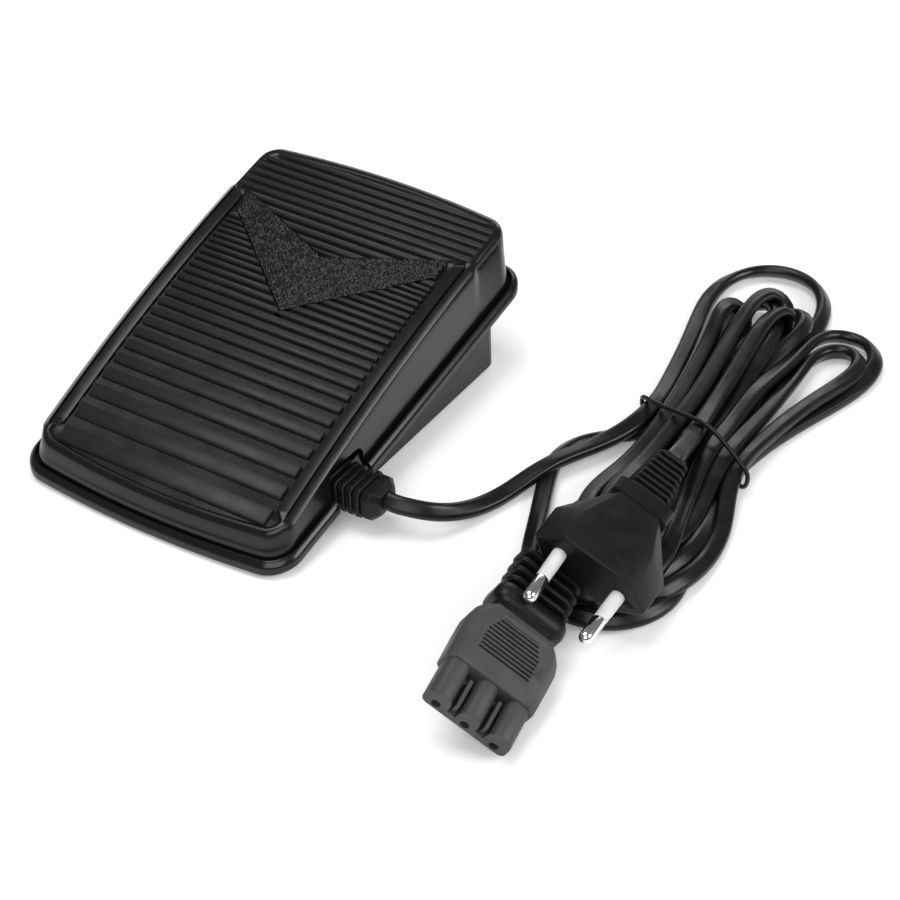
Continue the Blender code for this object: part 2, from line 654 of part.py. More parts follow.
def hank(parts, cutters, mat):
    data = bpy.data.curves.new("cord_hank", "CURVE")
    data.dimensions = "2D"
    data.fill_mode = "BOTH"
    data.extrude = (HANK_TOP_Z - HANK_BOTTOM_Z) / 2 * MM
    outline = hank_outline()
    spline = data.splines.new("POLY")
    spline.points.add(len(outline) - 1)
    for slot, (x, y) in zip(spline.points, outline):
        slot.co = (x * MM, y * MM, 0.0, 1.0)
    spline.use_cyclic_u = True
    drawn = bpy.data.objects.new("hank_outline", data)
    drawn.location.z = (HANK_TOP_Z + HANK_BOTTOM_Z) / 2 * MM
    parts.objects.link(drawn)
    bpy.context.view_layer.update()
    mesh = bpy.data.meshes.new_from_object(drawn.evaluated_get(bpy.context.evaluated_depsgraph_get()))
    bm = bmesh.new()
    bm.from_mesh(mesh)
    bmesh.ops.remove_doubles(bm, verts=bm.verts, dist=0.00001)
    made = obj_from(bm, "cord_hank", parts, mat)
    made.matrix_world = drawn.matrix_world
    bpy.data.objects.remove(drawn, do_unlink=True)
    groove = box((70, 2.4, 4.0), (*TIE_CENTRE, 2 * TIE_RADIUS + GAP - 2.0), Euler((0, 0, TIE_TURN)))
    seat = box((41, 46, 40), (0, -20, 20 - 7.6), None)
    place(seat, PLUG_FACE, PLUG_TURN)
    rear = box((19, 30, 40), (0, -50, 20 - 6.4), None)
    place(rear, PLUG_FACE, PLUG_TURN)
    relief = box((24, 20, 40), (0, -45.0, 12), None)
    place(relief, CONNECTOR_NOSE, CONNECTOR_TURN)
    joined(made, [groove, seat, rear, relief], "DIFFERENCE", cutters, mat)


def place(bm, origin, turn):
    """Moves a bmesh made about zero to its pose on the floor."""
    bm.transform(Matrix.Translation(origin * MM) @ turn.to_matrix().to_4x4())


def twist_tie(parts, mat):
    """A thin coated wire right round the hank's waist."""
    low, high = TIE_RADIUS, HANK_TOP_Z + GAP + TIE_RADIUS
    corner = 1.6
    points = []
    for number, (side, level) in enumerate(((1, low), (1, high), (-1, high), (-1, low))):
        across = side * (TIE_HALF_WIDTH - corner)
        height = level + corner if level == low else level - corner
        for i in range(4):
            turn = math.radians(-90 + 90 * number + 30 * i)
            points.append((across + corner * math.cos(turn), 0.0, height + corner * math.sin(turn)))
    turn = Matrix.Rotation(TIE_TURN, 3, "Z")
    points = [turn @ Vector(point) + Vector((*TIE_CENTRE, 0.0)) for point in points]
    made = tube("twist_tie", parts, mat, points, TIE_RADIUS, 1)
    made.data.splines[0].use_cyclic_u = True
    made.data.use_fill_caps = False


def mains_plug(parts, cutters, mats):
    """A flat two-pin plug, made with its pins along +Y and its face at y = 0."""
    sections = [(0.0, 17.5, 6.8, 6.2), (-12.0, 17.5, 6.8, 6.2), (-22.6, 7.6, 6.7, 1.2), (-24.0, 7.4, 6.4, 1.2),
                (-24.2, 8.8, 6.8, 1.6), (-29.6, 8.8, 6.8, 1.6), (-29.8, 5.6, 4.8, 1.6)]
    sections += [(-30.0 - y, *rest) for y, *rest in ribbed(0.2, 20.0, (6.2, 5.2), (4.4, 3.7), 8, 1.0)]
    bm = loft(sections_along_y(sections))
    place(bm, PLUG_FACE, PLUG_TURN)
    plug = obj_from(bm, "mains_plug_body", parts, mats["plug"])
    pin_hole_depth = 6.0
    holes = []
    for name, side in (("left", 1), ("right", -1)):
        x = side * PIN_SPACING / 2
        hole = rod(PIN_METAL_RADIUS + GAP, (x, -pin_hole_depth, 0), (x, 5, 0), 16)
        place(hole, PLUG_FACE, PLUG_TURN)
        holes.append(hole)
        profile = [(-pin_hole_depth + GAP, 1.4), (10.0 + GAP - 0.01, 1.4), (10.0 + GAP, PIN_METAL_RADIUS),
                   (PIN_LENGTH - 1.0, PIN_METAL_RADIUS), (PIN_LENGTH, 1.2)]
        turns = [2 * math.pi * step / 16 for step in range(16)]
        pin = loft([[(x + radius * math.cos(turn), y, radius * math.sin(turn)) for turn in turns] for y, radius in profile])
        place(pin, PLUG_FACE, PLUG_TURN)
        obj_from(pin, f"plug_pin_{name}", parts, mats["steel"])
        sleeve = rod(PIN_METAL_RADIUS, (x, -pin_hole_depth + 2, 0), (x, 10.0, 0), 16)
        place(sleeve, PLUG_FACE, PLUG_TURN)
        sleeve = obj_from(sleeve, f"pin_sleeve_{name}", parts, mats["white"])
        bore = rod(1.4 + 0.2, (x, -9, 0), (x, 14, 0), 16)
        place(bore, PLUG_FACE, PLUG_TURN)
        joined(sleeve, [bore], "DIFFERENCE", cutters, mats["white"])
    thumb = rod(5.2, (0, -15.4, 6.2), (0, -15.4, 9.0), 24, 8.5)
    place(thumb, PLUG_FACE, PLUG_TURN)
    joined(plug, holes + [thumb], "DIFFERENCE", cutters, mats["plug"])


def connector(parts, cutters, mats):
    """The machine end: a three-hole nose, a grip body, and the relief that both leads share."""
    def placed(bm):
        place(bm, CONNECTOR_NOSE, CONNECTOR_TURN)
        return bm

    body = obj_from(placed(loft(sections_along_y([
        (-12.0, 13.6, 5.8, 2.4), (-20.0, 14.0, 6.0, 2.6), (-27.0, 14.0, 6.0, 2.6), (-31.5, 12.4, 6.0, 2.6),
        (-34.0, 10.0, 5.8, 2.4),
    ]))), "connector_body", parts, mats["connector"])
    nose = [placed(box((22.6, 15.6, 3.2), (0, -8.0, -2.1)))]
    for i in (-1, 0, 1):
        nose.append(placed(rod(3.8, (i * HOLE_PITCH, -16.0, 0), (i * HOLE_PITCH, 0.0, 0), 16)))
    joined(body, nose, "UNION", cutters, mats["connector"])
    holes = [placed(rod(1.5, (i * HOLE_PITCH, -14.0, 0), (i * HOLE_PITCH, 3.0, 0), 12)) for i in (-1, 0, 1)]
    joined(body, holes, "DIFFERENCE", cutters, mats["connector"])
    for i in (-1, 0, 1):
        x = i * HOLE_PITCH
        socket = obj_from(placed(rod(1.2, (x, -13.7, 0), (x, -5.0, 0), 12)), f"socket_contact_{i + 2}", parts, mats["brass"])
        joined(socket, [placed(rod(0.7, (x, -12.0, 0), (x, 3.0, 0), 10))], "DIFFERENCE", cutters, mats["brass"])
    sections = [(-34.3, 9.4, 5.2, 2.2), (-35.6, 10.8, 6.2, 2.8), (-40.2, 10.8, 6.2, 2.8), (-41.2, 9.0, 5.2, 2.4)]
    sections += [(-41.4 - y, *rest) for y, *rest in ribbed(0.0, 9.6, (9.6, 5.4), (9.2, 4.8), 3, 1.0)]
    obj_from(placed(loft(sections_along_y(sections))), "connector_strain_relief", parts, mats["plug"])


def main():
    clear_scene()
    parts, cutters = collection("sewing_machine_pedal"), collection("cutters")
    mats = {
        "black": material("black_plastic", (0.022, 0.022, 0.023), 0.38),
        "base": material("base_plastic", (0.028, 0.028, 0.029), 0.5),
        "rubber": material("foot_rubber", (0.03, 0.03, 0.03), 0.8),
        "steel": material("plated_steel", (0.72, 0.72, 0.71), 0.25, 1.0),
        "board": material("circuit_board", (0.05, 0.20, 0.10), 0.5),
        "component": material("component_black", (0.03, 0.03, 0.03), 0.5),
        "aluminium": material("aluminium_sheet", (0.75, 0.76, 0.77), 0.35, 1.0),
        "yellow": material("capacitor_case", (0.65, 0.48, 0.10), 0.4),
        "copper": material("copper_winding", (0.72, 0.35, 0.18), 0.35, 1.0),
        "tan": material("resistor_body", (0.55, 0.42, 0.28), 0.5),
        "green": material("terminal_case", (0.10, 0.35, 0.18), 0.45),
        "wire": material("wire_insulation", (0.10, 0.16, 0.45), 0.45),
        "grey": material("grey_nylon", (0.35, 0.35, 0.35), 0.5),
        "cord": material("cord_jacket", (0.02, 0.02, 0.02), 0.42),
        "tie": material("tie_coating", (0.015, 0.015, 0.015), 0.4),
        "plug": material("plug_vinyl", (0.02, 0.02, 0.021), 0.45),
        "white": material("sleeve_plastic", (0.85, 0.85, 0.84), 0.4),
        "connector": material("connector_plastic", (0.045, 0.045, 0.047), 0.5),
        "brass": material("brass_contact", (0.75, 0.60, 0.30), 0.3, 1.0),
    }
    treadle_cap(parts, cutters, mats["black"])
    base_tray(parts, cutters, mats["base"])
    hinge_pin(parts, mats["steel"])
    feet(parts, mats["rubber"])
    springs(parts, mats["steel"])
    electronics(parts, cutters, mats)
    plunger(parts, mats["white"])
    presser(parts, cutters, mats)
    gland(parts, mats["plug"])
    cord_clamp(parts, cutters, mats)
    tube("pedal_lead", parts, mats["cord"], smooth(LEAD_ROUTE, 7.0), LEAD_DIAMETER / 2)
    tube("mains_lead", parts, mats["cord"], smooth(MAINS_ROUTE, 5.0), LEAD_DIAMETER / 2)
    hank(parts, cutters, mats["cord"])
    twist_tie(parts, mats["tie"])
    mains_plug(parts, cutters, mats)
    connector(parts, cutters, mats)


main()
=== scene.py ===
"""Looks of the sewing machine pedal and its bound cord set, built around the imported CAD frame."""

import math

import bmesh
import bpy
import numpy as np
from mathutils import Euler, Matrix, Vector, noise


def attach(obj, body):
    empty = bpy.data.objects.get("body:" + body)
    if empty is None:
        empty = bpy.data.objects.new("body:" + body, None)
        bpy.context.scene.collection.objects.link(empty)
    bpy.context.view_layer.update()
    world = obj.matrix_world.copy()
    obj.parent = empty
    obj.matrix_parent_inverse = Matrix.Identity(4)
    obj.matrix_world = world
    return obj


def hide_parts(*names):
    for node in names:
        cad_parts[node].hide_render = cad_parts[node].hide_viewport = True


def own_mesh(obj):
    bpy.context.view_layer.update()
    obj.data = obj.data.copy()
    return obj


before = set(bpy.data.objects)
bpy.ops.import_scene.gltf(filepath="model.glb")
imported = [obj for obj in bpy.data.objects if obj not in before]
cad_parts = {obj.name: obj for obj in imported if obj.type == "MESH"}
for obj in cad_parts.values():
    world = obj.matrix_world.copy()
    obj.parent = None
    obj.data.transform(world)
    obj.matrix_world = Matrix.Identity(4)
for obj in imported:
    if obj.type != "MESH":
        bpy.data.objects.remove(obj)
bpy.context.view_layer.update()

MM = 0.001                     # lengths below are in millimetres

# Treadle cap
HALF_WIDTH = 47.3
HALF_LENGTH = 62.85
END_BOW = 2.9
CORNER_RADIUS = 8.5
LIP_HEEL_Z = 1.1
LIP_SLOPE = 0.2027
LIP_HEIGHT = 3.85
TOP_HEEL_Z = 10.4
TOP_SLOPE = 0.446
TOP_CURVE = 0.001064
WALL = 2.2
TOP_THICKNESS = 3.6
NOTCH_HALF_WIDTH = 7.9
NOTCH_TOP_Z = 19.5
NOTCH_HALF_HEIGHT = 12.2
NOTCH_CORNER = 3.2
TOE_START_Y = 39.6             # where the side borders end and the ribs run over the edge

# Tread bars and chevron
FIRST_BAR_Y = -56.6
LAST_BAR_Y = 27.0
HEEL_PITCH = 8.1
PITCH_FADE = 0.0175
BAR_SHARE = 0.58
RIB_PITCH = 3.05
LAST_RIB_Y = 55.6
BAR_REACH = 36.6
RIB_REACH = 41.6
CHEVRON_TIP_Y = 2.9
CHEVRON_RISE = 0.78
CHEVRON_INNER_Y = 24.2
CHEVRON_INNER_RISE = 0.385
CHEVRON_HALF_SPAN = 35.5

# Gland
GLAND_Y = -28.0
GLAND_Z = 10.6
GLAND_ROOT_X = 36.2
GLAND_END_X = 57.8

# Springs
SPRING_X = 26.0
SPRING_Y = 36.0
SPRING_RADIUS = 4.2
SPRING_TURNS = 6
SPRING_BOTTOM_Z = 4.0
SPRING_TOP_Z = 38.6

# Plug and connector
PLUG_FACE = Vector((126.4, -35.4, 20.0))
PLUG_TURN = Euler((math.radians(-3.0), math.radians(-25.5), math.radians(185.0)))
PIN_SPACING = 18.6
PIN_LEAN = math.radians(1.5)   # the pins of such a plug lean towards each other
PIN_RADIUS = 2.0
CONNECTOR_NOSE = Vector((123.3, -89.9, 9.9))
CONNECTOR_TURN = Euler((math.radians(-7.0), math.radians(-33.5), math.radians(193.0)))
HOLE_PITCH = 9.0

# Cords: a flat twin section
CORD_WIDTH = 5.3
CORD_THICKNESS = 3.5
CORD_STEP = 3.6                # between the points that are settled
SMOOTH_STEP = 4.5              # between the points that are smoothed after that
RING_STEP = 1.8                # between the rings of the mesh
STRAND_GAP = 5.0               # between the middles of two strands that lie side by side
MOST_ROLL = math.radians(62)   # how far a flat bend turns the cord on edge
ROLL_GAIN = 22.0
TIE_REACH = 16.8               # how far from the hank's axis the tie lets a strand lie
TIE_SKEW = 0.4                 # the tie runs askew over the hank
TIE_TURN = math.radians(-22.0)
TIE_RADIUS = 0.68
HANK_MIDDLE = (113.0, 46.0)
HANK_TURN = math.radians(4.5)
LEAD_ROUTE = (
    (56.4, -28.0, 10.6), (58.4, -28.0, 10.6), (61.4, -28.1, 10.4), (64.8, -27.5, 10.0), (68.2, -25.6, 9.3),
    (71.0, -22.3, 8.3), (73.2, -17.8, 7.0), (75.2, -12.0, 5.6), (77.2, -5.5, 4.3), (79.4, 1.2, 3.3), (81.7, 8.0, 3.1),
    (84.0, 14.6, 4.2), (86.3, 21.2, 5.4), (88.7, 27.7, 6.0), (90.9, 33.8, 6.0),
)
MAINS_ROUTE = (
    (123.4, 10.5, 22.2), (123.2, 14.0, 22.3), (122.7, 17.6, 21.9), (121.4, 23.0, 20.2), (119.4, 29.0, 17.4),
)
END_ROUTE = ((103.0, 4.0, 9.0), (107.5, -6.5, 12.0), (111.0, -17.0, 14.6))
MAINS_END_SHIFT = Vector((5.0, 0.5, 1.0))      # the mains lead comes in beside the pedal lead
# Slots are (across, height) under the tie. A fold is its reach from the tie, the two sides that it turns between, how
# soon it reaches each side, and the low bow that it comes back by.
LEAD_SLOTS = ((-16, 5), (5.3, 2), (-14.5, 2.2), (5.3, 6), (16, 3), (8, 9), (-5.3, 2), (-10, 8.5))
LEFT_BOW = ((-37.0, -29.5, 1.9), (-22.0, -32.5, 1.9), (-9.0, -27.5, 1.9))
LEAD_FOLDS = (
    (95, (-27, 3), (10, 2)), (82, (22.5, 2), (-21, 2), 1.0, 1.0, LEFT_BOW), (75, (-13, 3), (2, 9)),
    (70, (-17, 3), (20, 3)), (71, (33.5, 3.5), (9, 8)), (76, (17, 7), (-13, 3)), (68, (-10, 3), (-16, 12)),
)
MAINS_SLOTS = ((1, 12), (-1, 7), (-10.7, 5), (0, 2), (16.5, 6), (11, 9), (10.5, 2.5), (-5, 11))
MAINS_FOLDS = (
    (68, (-1, 14), (5, 4)), (60, (15, 4), (-15, 3)), (73, (-6, 4), (8, 9)), (77, (-14, 4), (23, 3)),
    (64, (30.5, 6.5), (14, 6)), (57, (14, 5), (-11, 5)), (76, (0, 4), (-9, 15)),
)

# Settling of the cords
SETTLE_ROUNDS = 220
PINNED_POINTS = 4              # held at each end of a cord
NEIGHBOURS = 4                 # points this near along a cord don't press on each other
PRESS = 0.3
SINK = 0.05                    # a round, at first
RETURN = 0.004                 # back towards the route, a round
STIFFNESS = 0.32
HEIGHT_WEIGHT = 1.42           # flat strands stack closer than they lie side by side
STRAND_CLEARANCE = 1.9         # from an obstacle to a strand's middle

# Camera
CAMERA_ANGLES = (34.2555, 38.0942, -1.6327)    # azimuth, elevation and roll, in degrees
CAMERA_TARGET = Vector((68.43, -12.26, 22.0))
CAMERA_DISTANCE = 674.95
FOCAL_LENGTH = 98.16
SENSOR_WIDTH = 36.0


# ---- camera

def camera():
    azimuth, elevation, roll = (math.radians(angle) for angle in CAMERA_ANGLES)
    back = Vector((
        math.sin(azimuth) * math.cos(elevation), -math.cos(azimuth) * math.cos(elevation), math.sin(elevation)))
    right = Vector((math.cos(azimuth), math.sin(azimuth), 0.0))
    above = back.cross(right)
    turned_right = right * math.cos(roll) + above * math.sin(roll)
    turned_up = above * math.cos(roll) - right * math.sin(roll)
    data = bpy.data.cameras.new("camera")
    data.sensor_width = SENSOR_WIDTH
    data.lens = FOCAL_LENGTH
    data.clip_start = 0.05
    data.clip_end = 20.0
    made = bpy.data.objects.new("camera", data)
    place = CAMERA_TARGET + back * CAMERA_DISTANCE
    turn = Matrix((turned_right, turned_up, back)).transposed().to_4x4()
    made.matrix_world = Matrix.Translation(place * MM) @ turn
    bpy.context.scene.collection.objects.link(made)
    bpy.context.scene.camera = made


# ---- mesh helpers

def object_from(bm, name, angle=30.0):
    bmesh.ops.recalc_face_normals(bm, faces=bm.faces)
    if bm.calc_volume(signed=True) < 0:
        bmesh.ops.reverse_faces(bm, faces=bm.faces)
    mesh = bpy.data.meshes.new(name)
    bm.to_mesh(mesh)
    bm.free()
    mesh.shade_smooth()
    mesh.set_sharp_from_angle(angle=math.radians(angle))
    made = bpy.data.objects.new(name, mesh)
    bpy.context.scene.collection.objects.link(made)
    return made


def finished(obj, body, slot, mat, *nodes):
    """Gives a piece its material and its body, and hides the CAD nodes that it stands for. slot is not used."""
    obj.data.materials.clear()
    obj.data.materials.append(mat)
    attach(obj, body)
    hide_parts(*nodes)
    return obj


def box(size, centre):
    bm = bmesh.new()
    bmesh.ops.create_cube(bm, size=1.0)
    bmesh.ops.scale(bm, vec=[side * MM for side in size], verts=bm.verts)
    bmesh.ops.translate(bm, vec=Vector(centre) * MM, verts=bm.verts)
    return bm


def rod(radius, start, end, sides=32):
    start, end = Vector(start) * MM, Vector(end) * MM
    bm = bmesh.new()
    bmesh.ops.create_cone(bm, cap_ends=True, segments=sides, radius1=radius * MM, radius2=radius * MM,
                          depth=(end - start).length)
    turn = Vector((0, 0, 1)).rotation_difference(end - start).to_matrix()
    bmesh.ops.rotate(bm, matrix=turn, verts=bm.verts)
    bmesh.ops.translate(bm, vec=(start + end) / 2, verts=bm.verts)
    return bm


def ball(radius, centre):
    bm = bmesh.new()
    bmesh.ops.create_uvsphere(bm, u_segments=48, v_segments=24, radius=radius * MM)
    bmesh.ops.translate(bm, vec=Vector(centre) * MM, verts=bm.verts)
    return bm


def loft(rings, across=False):
    """A closed skin over rings of equal length. across closes the ends by strips, for a curved top."""
    bm = bmesh.new()
    rows = [[bm.verts.new(Vector(point) * MM) for point in ring] for ring in rings]
    count = len(rows[0])
    for low, high in zip(rows, rows[1:]):
        for i in range(count):
            j = (i + 1) % count
            bm.faces.new((low[i], low[j], high[j], high[i]))
    for row in (rows[0], rows[-1]):
        if not across:
            bm.faces.new(row)
            continue
        half = count // 2
        bm.faces.new((row[0], row[1], row[-1]))
        for i in range(1, half - 1):
            bm.faces.new((row[i], row[i + 1], row[-i - 1], row[-i]))
        bm.faces.new((row[half - 1], row[half], row[half + 1]))
    return bm


def merged(pieces):
    whole = bmesh.new()
    for bm in pieces:
        spare = bpy.data.meshes.new("spare")
        bm.to_mesh(spare)
        bm.free()
        whole.from_mesh(spare)
        bpy.data.meshes.remove(spare)
    return whole


def applied(obj):
    """Makes the mesh what its modifiers show."""
    bpy.context.view_layer.update()
    graph = bpy.context.evaluated_depsgraph_get()
    mesh = bpy.data.meshes.new_from_object(obj.evaluated_get(graph))
    obj.modifiers.clear()
    obj.data = mesh
    return obj


def cut(target, pieces):
    """Takes every bmesh of pieces out of target."""
    helpers = []
    for bm in pieces:
        helper = object_from(bm, "helper")
        helpers.append(helper)
        modifier = target.modifiers.new("cut", "BOOLEAN")
        modifier.operation = "DIFFERENCE"
        modifier.solver = "EXACT"
        modifier.object = helper
    applied(target)
    for helper in helpers:
        bpy.data.objects.remove(helper, do_unlink=True)
    target.data.shade_smooth()
    target.data.set_sharp_from_angle(angle=math.radians(30))
    return target


def bevelled(obj, width, segments=3, angle=28.0):
    modifier = obj.modifiers.new("bevel", "BEVEL")
    modifier.width = width * MM
    modifier.segments = segments
    modifier.limit_method = "ANGLE"
    modifier.angle_limit = math.radians(angle)
    modifier.harden_normals = True
    return applied(obj)


def placed(bm, origin, turn):
    bm.transform(Matrix.Translation(origin * MM) @ turn.to_matrix().to_4x4())
    return bm


def eased(share):
    share = min(max(share, 0.0), 1.0)
    return share * share * (3 - 2 * share)


def blurred(values, width):
    """A moving average of an odd number of values, with soft ends."""
    window = np.hanning(width) / np.hanning(width).sum()
    return np.convolve(np.pad(values, width // 2, "edge"), window, "valid")


# ---- materials

class Finish:
    """A Principled material whose colour, roughness and relief vary with noise in object space."""

    def __init__(self, name, colour, roughness, metallic=0.0, **more):
        self.made = bpy.data.materials.new(name)
        self.made.use_nodes = True
        self.nodes = self.made.node_tree.nodes
        self.links = self.made.node_tree.links
        self.shader = self.nodes["Principled BSDF"]
        self.colour = colour
        self.roughness = roughness
        self.shader.inputs["Base Color"].default_value = (*colour, 1.0)
        self.shader.inputs["Roughness"].default_value = roughness
        self.shader.inputs["Metallic"].default_value = metallic
        for socket, value in more.items():
            self.shader.inputs[socket.replace("_", " ")].default_value = value
        self.coordinates = self.nodes.new("ShaderNodeTexCoord")
        self.height = None

    def noise(self, size, detail=4.0, stretch=None, distortion=0.0):
        """Noise whose cells are about size millimetres."""
        texture = self.nodes.new("ShaderNodeTexNoise")
        texture.inputs["Scale"].default_value = 1000.0 / size
        texture.inputs["Detail"].default_value = detail
        texture.inputs["Distortion"].default_value = distortion
        source = self.coordinates.outputs["Object"]
        if stretch:
            mapping = self.nodes.new("ShaderNodeMapping")
            mapping.inputs["Scale"].default_value = stretch
            self.links.new(source, mapping.inputs["Vector"])
            source = mapping.outputs["Vector"]
        self.links.new(source, texture.inputs["Vector"])
        return texture.outputs["Fac"]

    def vary_roughness(self, size, spread):
        ranged = self.nodes.new("ShaderNodeMapRange")
        ranged.inputs["From Min"].default_value = 0.3
        ranged.inputs["From Max"].default_value = 0.7
        ranged.inputs["To Min"].default_value = max(0.02, self.roughness - spread)
        ranged.inputs["To Max"].default_value = min(1.0, self.roughness + spread)
        self.links.new(self.noise(size), ranged.inputs["Value"])
        self.links.new(ranged.outputs["Result"], self.shader.inputs["Roughness"])
        return self

    def vary_colour(self, size, spread, stretch=None):
        ramp = self.nodes.new("ShaderNodeValToRGB")
        ramp.color_ramp.elements[0].position = 0.3
        ramp.color_ramp.elements[1].position = 0.72
        ramp.color_ramp.elements[0].color = (*(part * (1 - spread) for part in self.colour), 1.0)
        ramp.color_ramp.elements[1].color = (*(min(1.0, part * (1 + spread)) for part in self.colour), 1.0)
        self.links.new(self.noise(size, stretch=stretch), ramp.inputs["Fac"])
        self.links.new(ramp.outputs["Color"], self.shader.inputs["Base Color"])
        return self

    def relief(self, size, depth, strength=0.5, detail=3.0, stretch=None, distortion=0.0):
        """Adds bumps of that size and depth, both in millimetres."""
        bump = self.nodes.new("ShaderNodeBump")
        bump.inputs["Strength"].default_value = strength
        bump.inputs["Distance"].default_value = depth * MM
        self.links.new(self.noise(size, detail, stretch, distortion), bump.inputs["Height"])
        if self.height:
            self.links.new(self.height, bump.inputs["Normal"])
        self.height = bump.outputs["Normal"]
        self.links.new(self.height, self.shader.inputs["Normal"])
        return self


def moulded(name, colour, roughness, grain=0.35, depth=0.02, **more):
    """Moulded plastic: fine grain, slow waviness and faint smears of gloss."""
    made = Finish(name, colour, roughness, **more)
    made.vary_roughness(9.0, roughness * 0.18)
    made.vary_colour(6.0, 0.14)
    made.relief(grain, depth, 0.35)
    made.relief(14.0, 0.05, 0.25, 1.0)
    return made.made


def metal(name, colour, roughness, stretch=(1.0, 1.0, 1.0)):
    made = Finish(name, colour, roughness, 1.0)
    made.vary_roughness(2.5, roughness * 0.35)
    made.vary_colour(3.0, 0.08)
    made.relief(0.25, 0.006, 0.3, stretch=stretch)
    return made.made


def make_materials():
    mats = {
        "treadle": moulded("treadle_plastic", (0.0055, 0.0055, 0.0058), 0.21, 0.30, 0.006, Specular_IOR_Level=0.38),
        "bars": moulded("tread_plastic", (0.010, 0.010, 0.0103), 0.46, 0.32, 0.03, Specular_IOR_Level=0.34),
        "base": moulded("base_plastic", (0.006, 0.006, 0.0063), 0.36, Specular_IOR_Level=0.34),
        "vinyl": moulded("moulded_vinyl", (0.005, 0.005, 0.0053), 0.40, 0.4, 0.02, Specular_IOR_Level=0.24),
        "relief": moulded("relief_vinyl", (0.004, 0.004, 0.0042), 0.40, 0.4, 0.02, Specular_IOR_Level=0.24),
        "connector": moulded("connector_plastic", (0.044, 0.044, 0.045), 0.54, 0.35, 0.03, Specular_IOR_Level=0.4),
        "tie": moulded("tie_coating", (0.006, 0.006, 0.006), 0.34, Specular_IOR_Level=0.25),
        "sleeve": moulded("sleeve_plastic", (0.66, 0.66, 0.65), 0.42, 0.5, 0.01,
                          Subsurface_Weight=0.12, Subsurface_Scale=0.002),
        "rubber": moulded("foot_rubber", (0.02, 0.02, 0.02), 0.75, 0.5, 0.05),
        "component": moulded("component_black", (0.02, 0.02, 0.02), 0.5),
        "capacitor": moulded("capacitor_case", (0.62, 0.42, 0.07), 0.38, 0.8, 0.02),
        "resistor": moulded("resistor_body", (0.55, 0.40, 0.26), 0.5),
        "terminal": moulded("terminal_case", (0.08, 0.32, 0.15), 0.42),
        "wire": moulded("wire_insulation", (0.06, 0.10, 0.42), 0.42),
        "white_nylon": moulded("plunger_nylon", (0.80, 0.79, 0.76), 0.4, 0.5, 0.01),
        "grey_nylon": moulded("grey_nylon", (0.30, 0.30, 0.31), 0.5),
        "nickel": metal("nickel_plate", (0.78, 0.76, 0.73), 0.14),
        "steel": metal("plated_steel", (0.66, 0.66, 0.65), 0.28),
        "aluminium": metal("aluminium_sheet", (0.74, 0.75, 0.76), 0.36, (1.0, 0.1, 1.0)),
        "brass": metal("brass_contact", (0.76, 0.58, 0.27), 0.28),
        "copper": metal("copper_winding", (0.72, 0.33, 0.16), 0.32, (1.0, 1.0, 0.15)),
    }
    cord = Finish("cord_jacket", (0.004, 0.004, 0.0043), 0.31, Specular_IOR_Level=0.33)
    cord.vary_roughness(7.0, 0.07).vary_colour(5.0, 0.15).relief(0.5, 0.02, 0.3).relief(5.0, 0.12, 0.25, 1.0)
    mats["cord"] = cord.made
    pebble = Finish("pebbled_plastic", (0.004, 0.004, 0.0043), 0.30, Specular_IOR_Level=0.4)
    pebble.vary_roughness(0.8, 0.08).vary_colour(1.2, 0.2).relief(0.4, 0.015, 0.3, 2.0)
    mats["pebble"] = pebble.made
    board = Finish("circuit_board", (0.03, 0.16, 0.07), 0.42)
    board.vary_colour(4.0, 0.35, (1.0, 0.12, 1.0))
    board.vary_roughness(3.0, 0.08)
    board.relief(1.6, 0.03, 0.4, stretch=(1.0, 0.12, 1.0))
    mats["board"] = board.made
    return mats


def dress_frame(mats):
    """Gives every CAD node that stays in view its material."""
    finishes = {
        "base_tray": "base", "hinge_pin": "steel", "circuit_board": "board", "speed_potentiometer": "component",
        "heat_sink": "aluminium", "triac": "component", "film_capacitor": "capacitor", "choke_coil": "copper",
        "gate_resistor": "resistor", "terminal_block": "terminal", "live_wire": "wire", "neutral_wire": "wire",
        "inner_lead": "cord", "cord_clamp": "grey_nylon", "presser_bracket": "grey_nylon",
        "speed_plunger": "white_nylon",
    }
    for name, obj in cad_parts.items():
        finish = finishes.get(name)
        if name.startswith("rubber_foot"):
            finish = "rubber"
        elif "screw" in name:
            finish = "steel"
        elif name.startswith("socket_contact"):
            finish = "brass"
        if finish is None:
            continue
        if not obj.data.materials:
            obj.data.materials.append(mats[finish])
        for slot in obj.material_slots:
            slot.link = "OBJECT"
            slot.material = mats[finish]


# ---- cords

def on_hank(along, across, z):
    """A place in the hank: along its axis from the tie, across it, and up."""
    x = HANK_MIDDLE[0] + across * math.cos(HANK_TURN) - along * math.sin(HANK_TURN)
    y = HANK_MIDDLE[1] + across * math.sin(HANK_TURN) + along * math.cos(HANK_TURN)
    return Vector((x, y, z))


def fold(way, start, end, reach, first, second, soon=1.0, late=1.0, bow=None):
    """Out from slot start, round between two sides, and back to slot end, by way of the bow if there is one."""
    first, second = Vector(first), Vector(second)
    middle, half = (first + second) / 2, (second - first) / 2
    rounding = 1.15 * half.length
    straight = reach - rounding

    def lane(share, slot, side, speed):
        return on_hank(way * straight * share, *Vector(slot).lerp(side, min(1.0, speed * share ** 1.2)))

    points = [lane(share, start, first, soon) for share in (0.33, 0.7)]
    for i in range(7):
        turn = math.pi * i / 6
        points.append(on_hank(way * (straight + rounding * math.sin(turn)), *(middle - half * math.cos(turn))))
    if bow:
        return points + [on_hank(*point) for point in bow]
    return points + [lane(share, end, second, late) for share in (0.7, 0.33)]


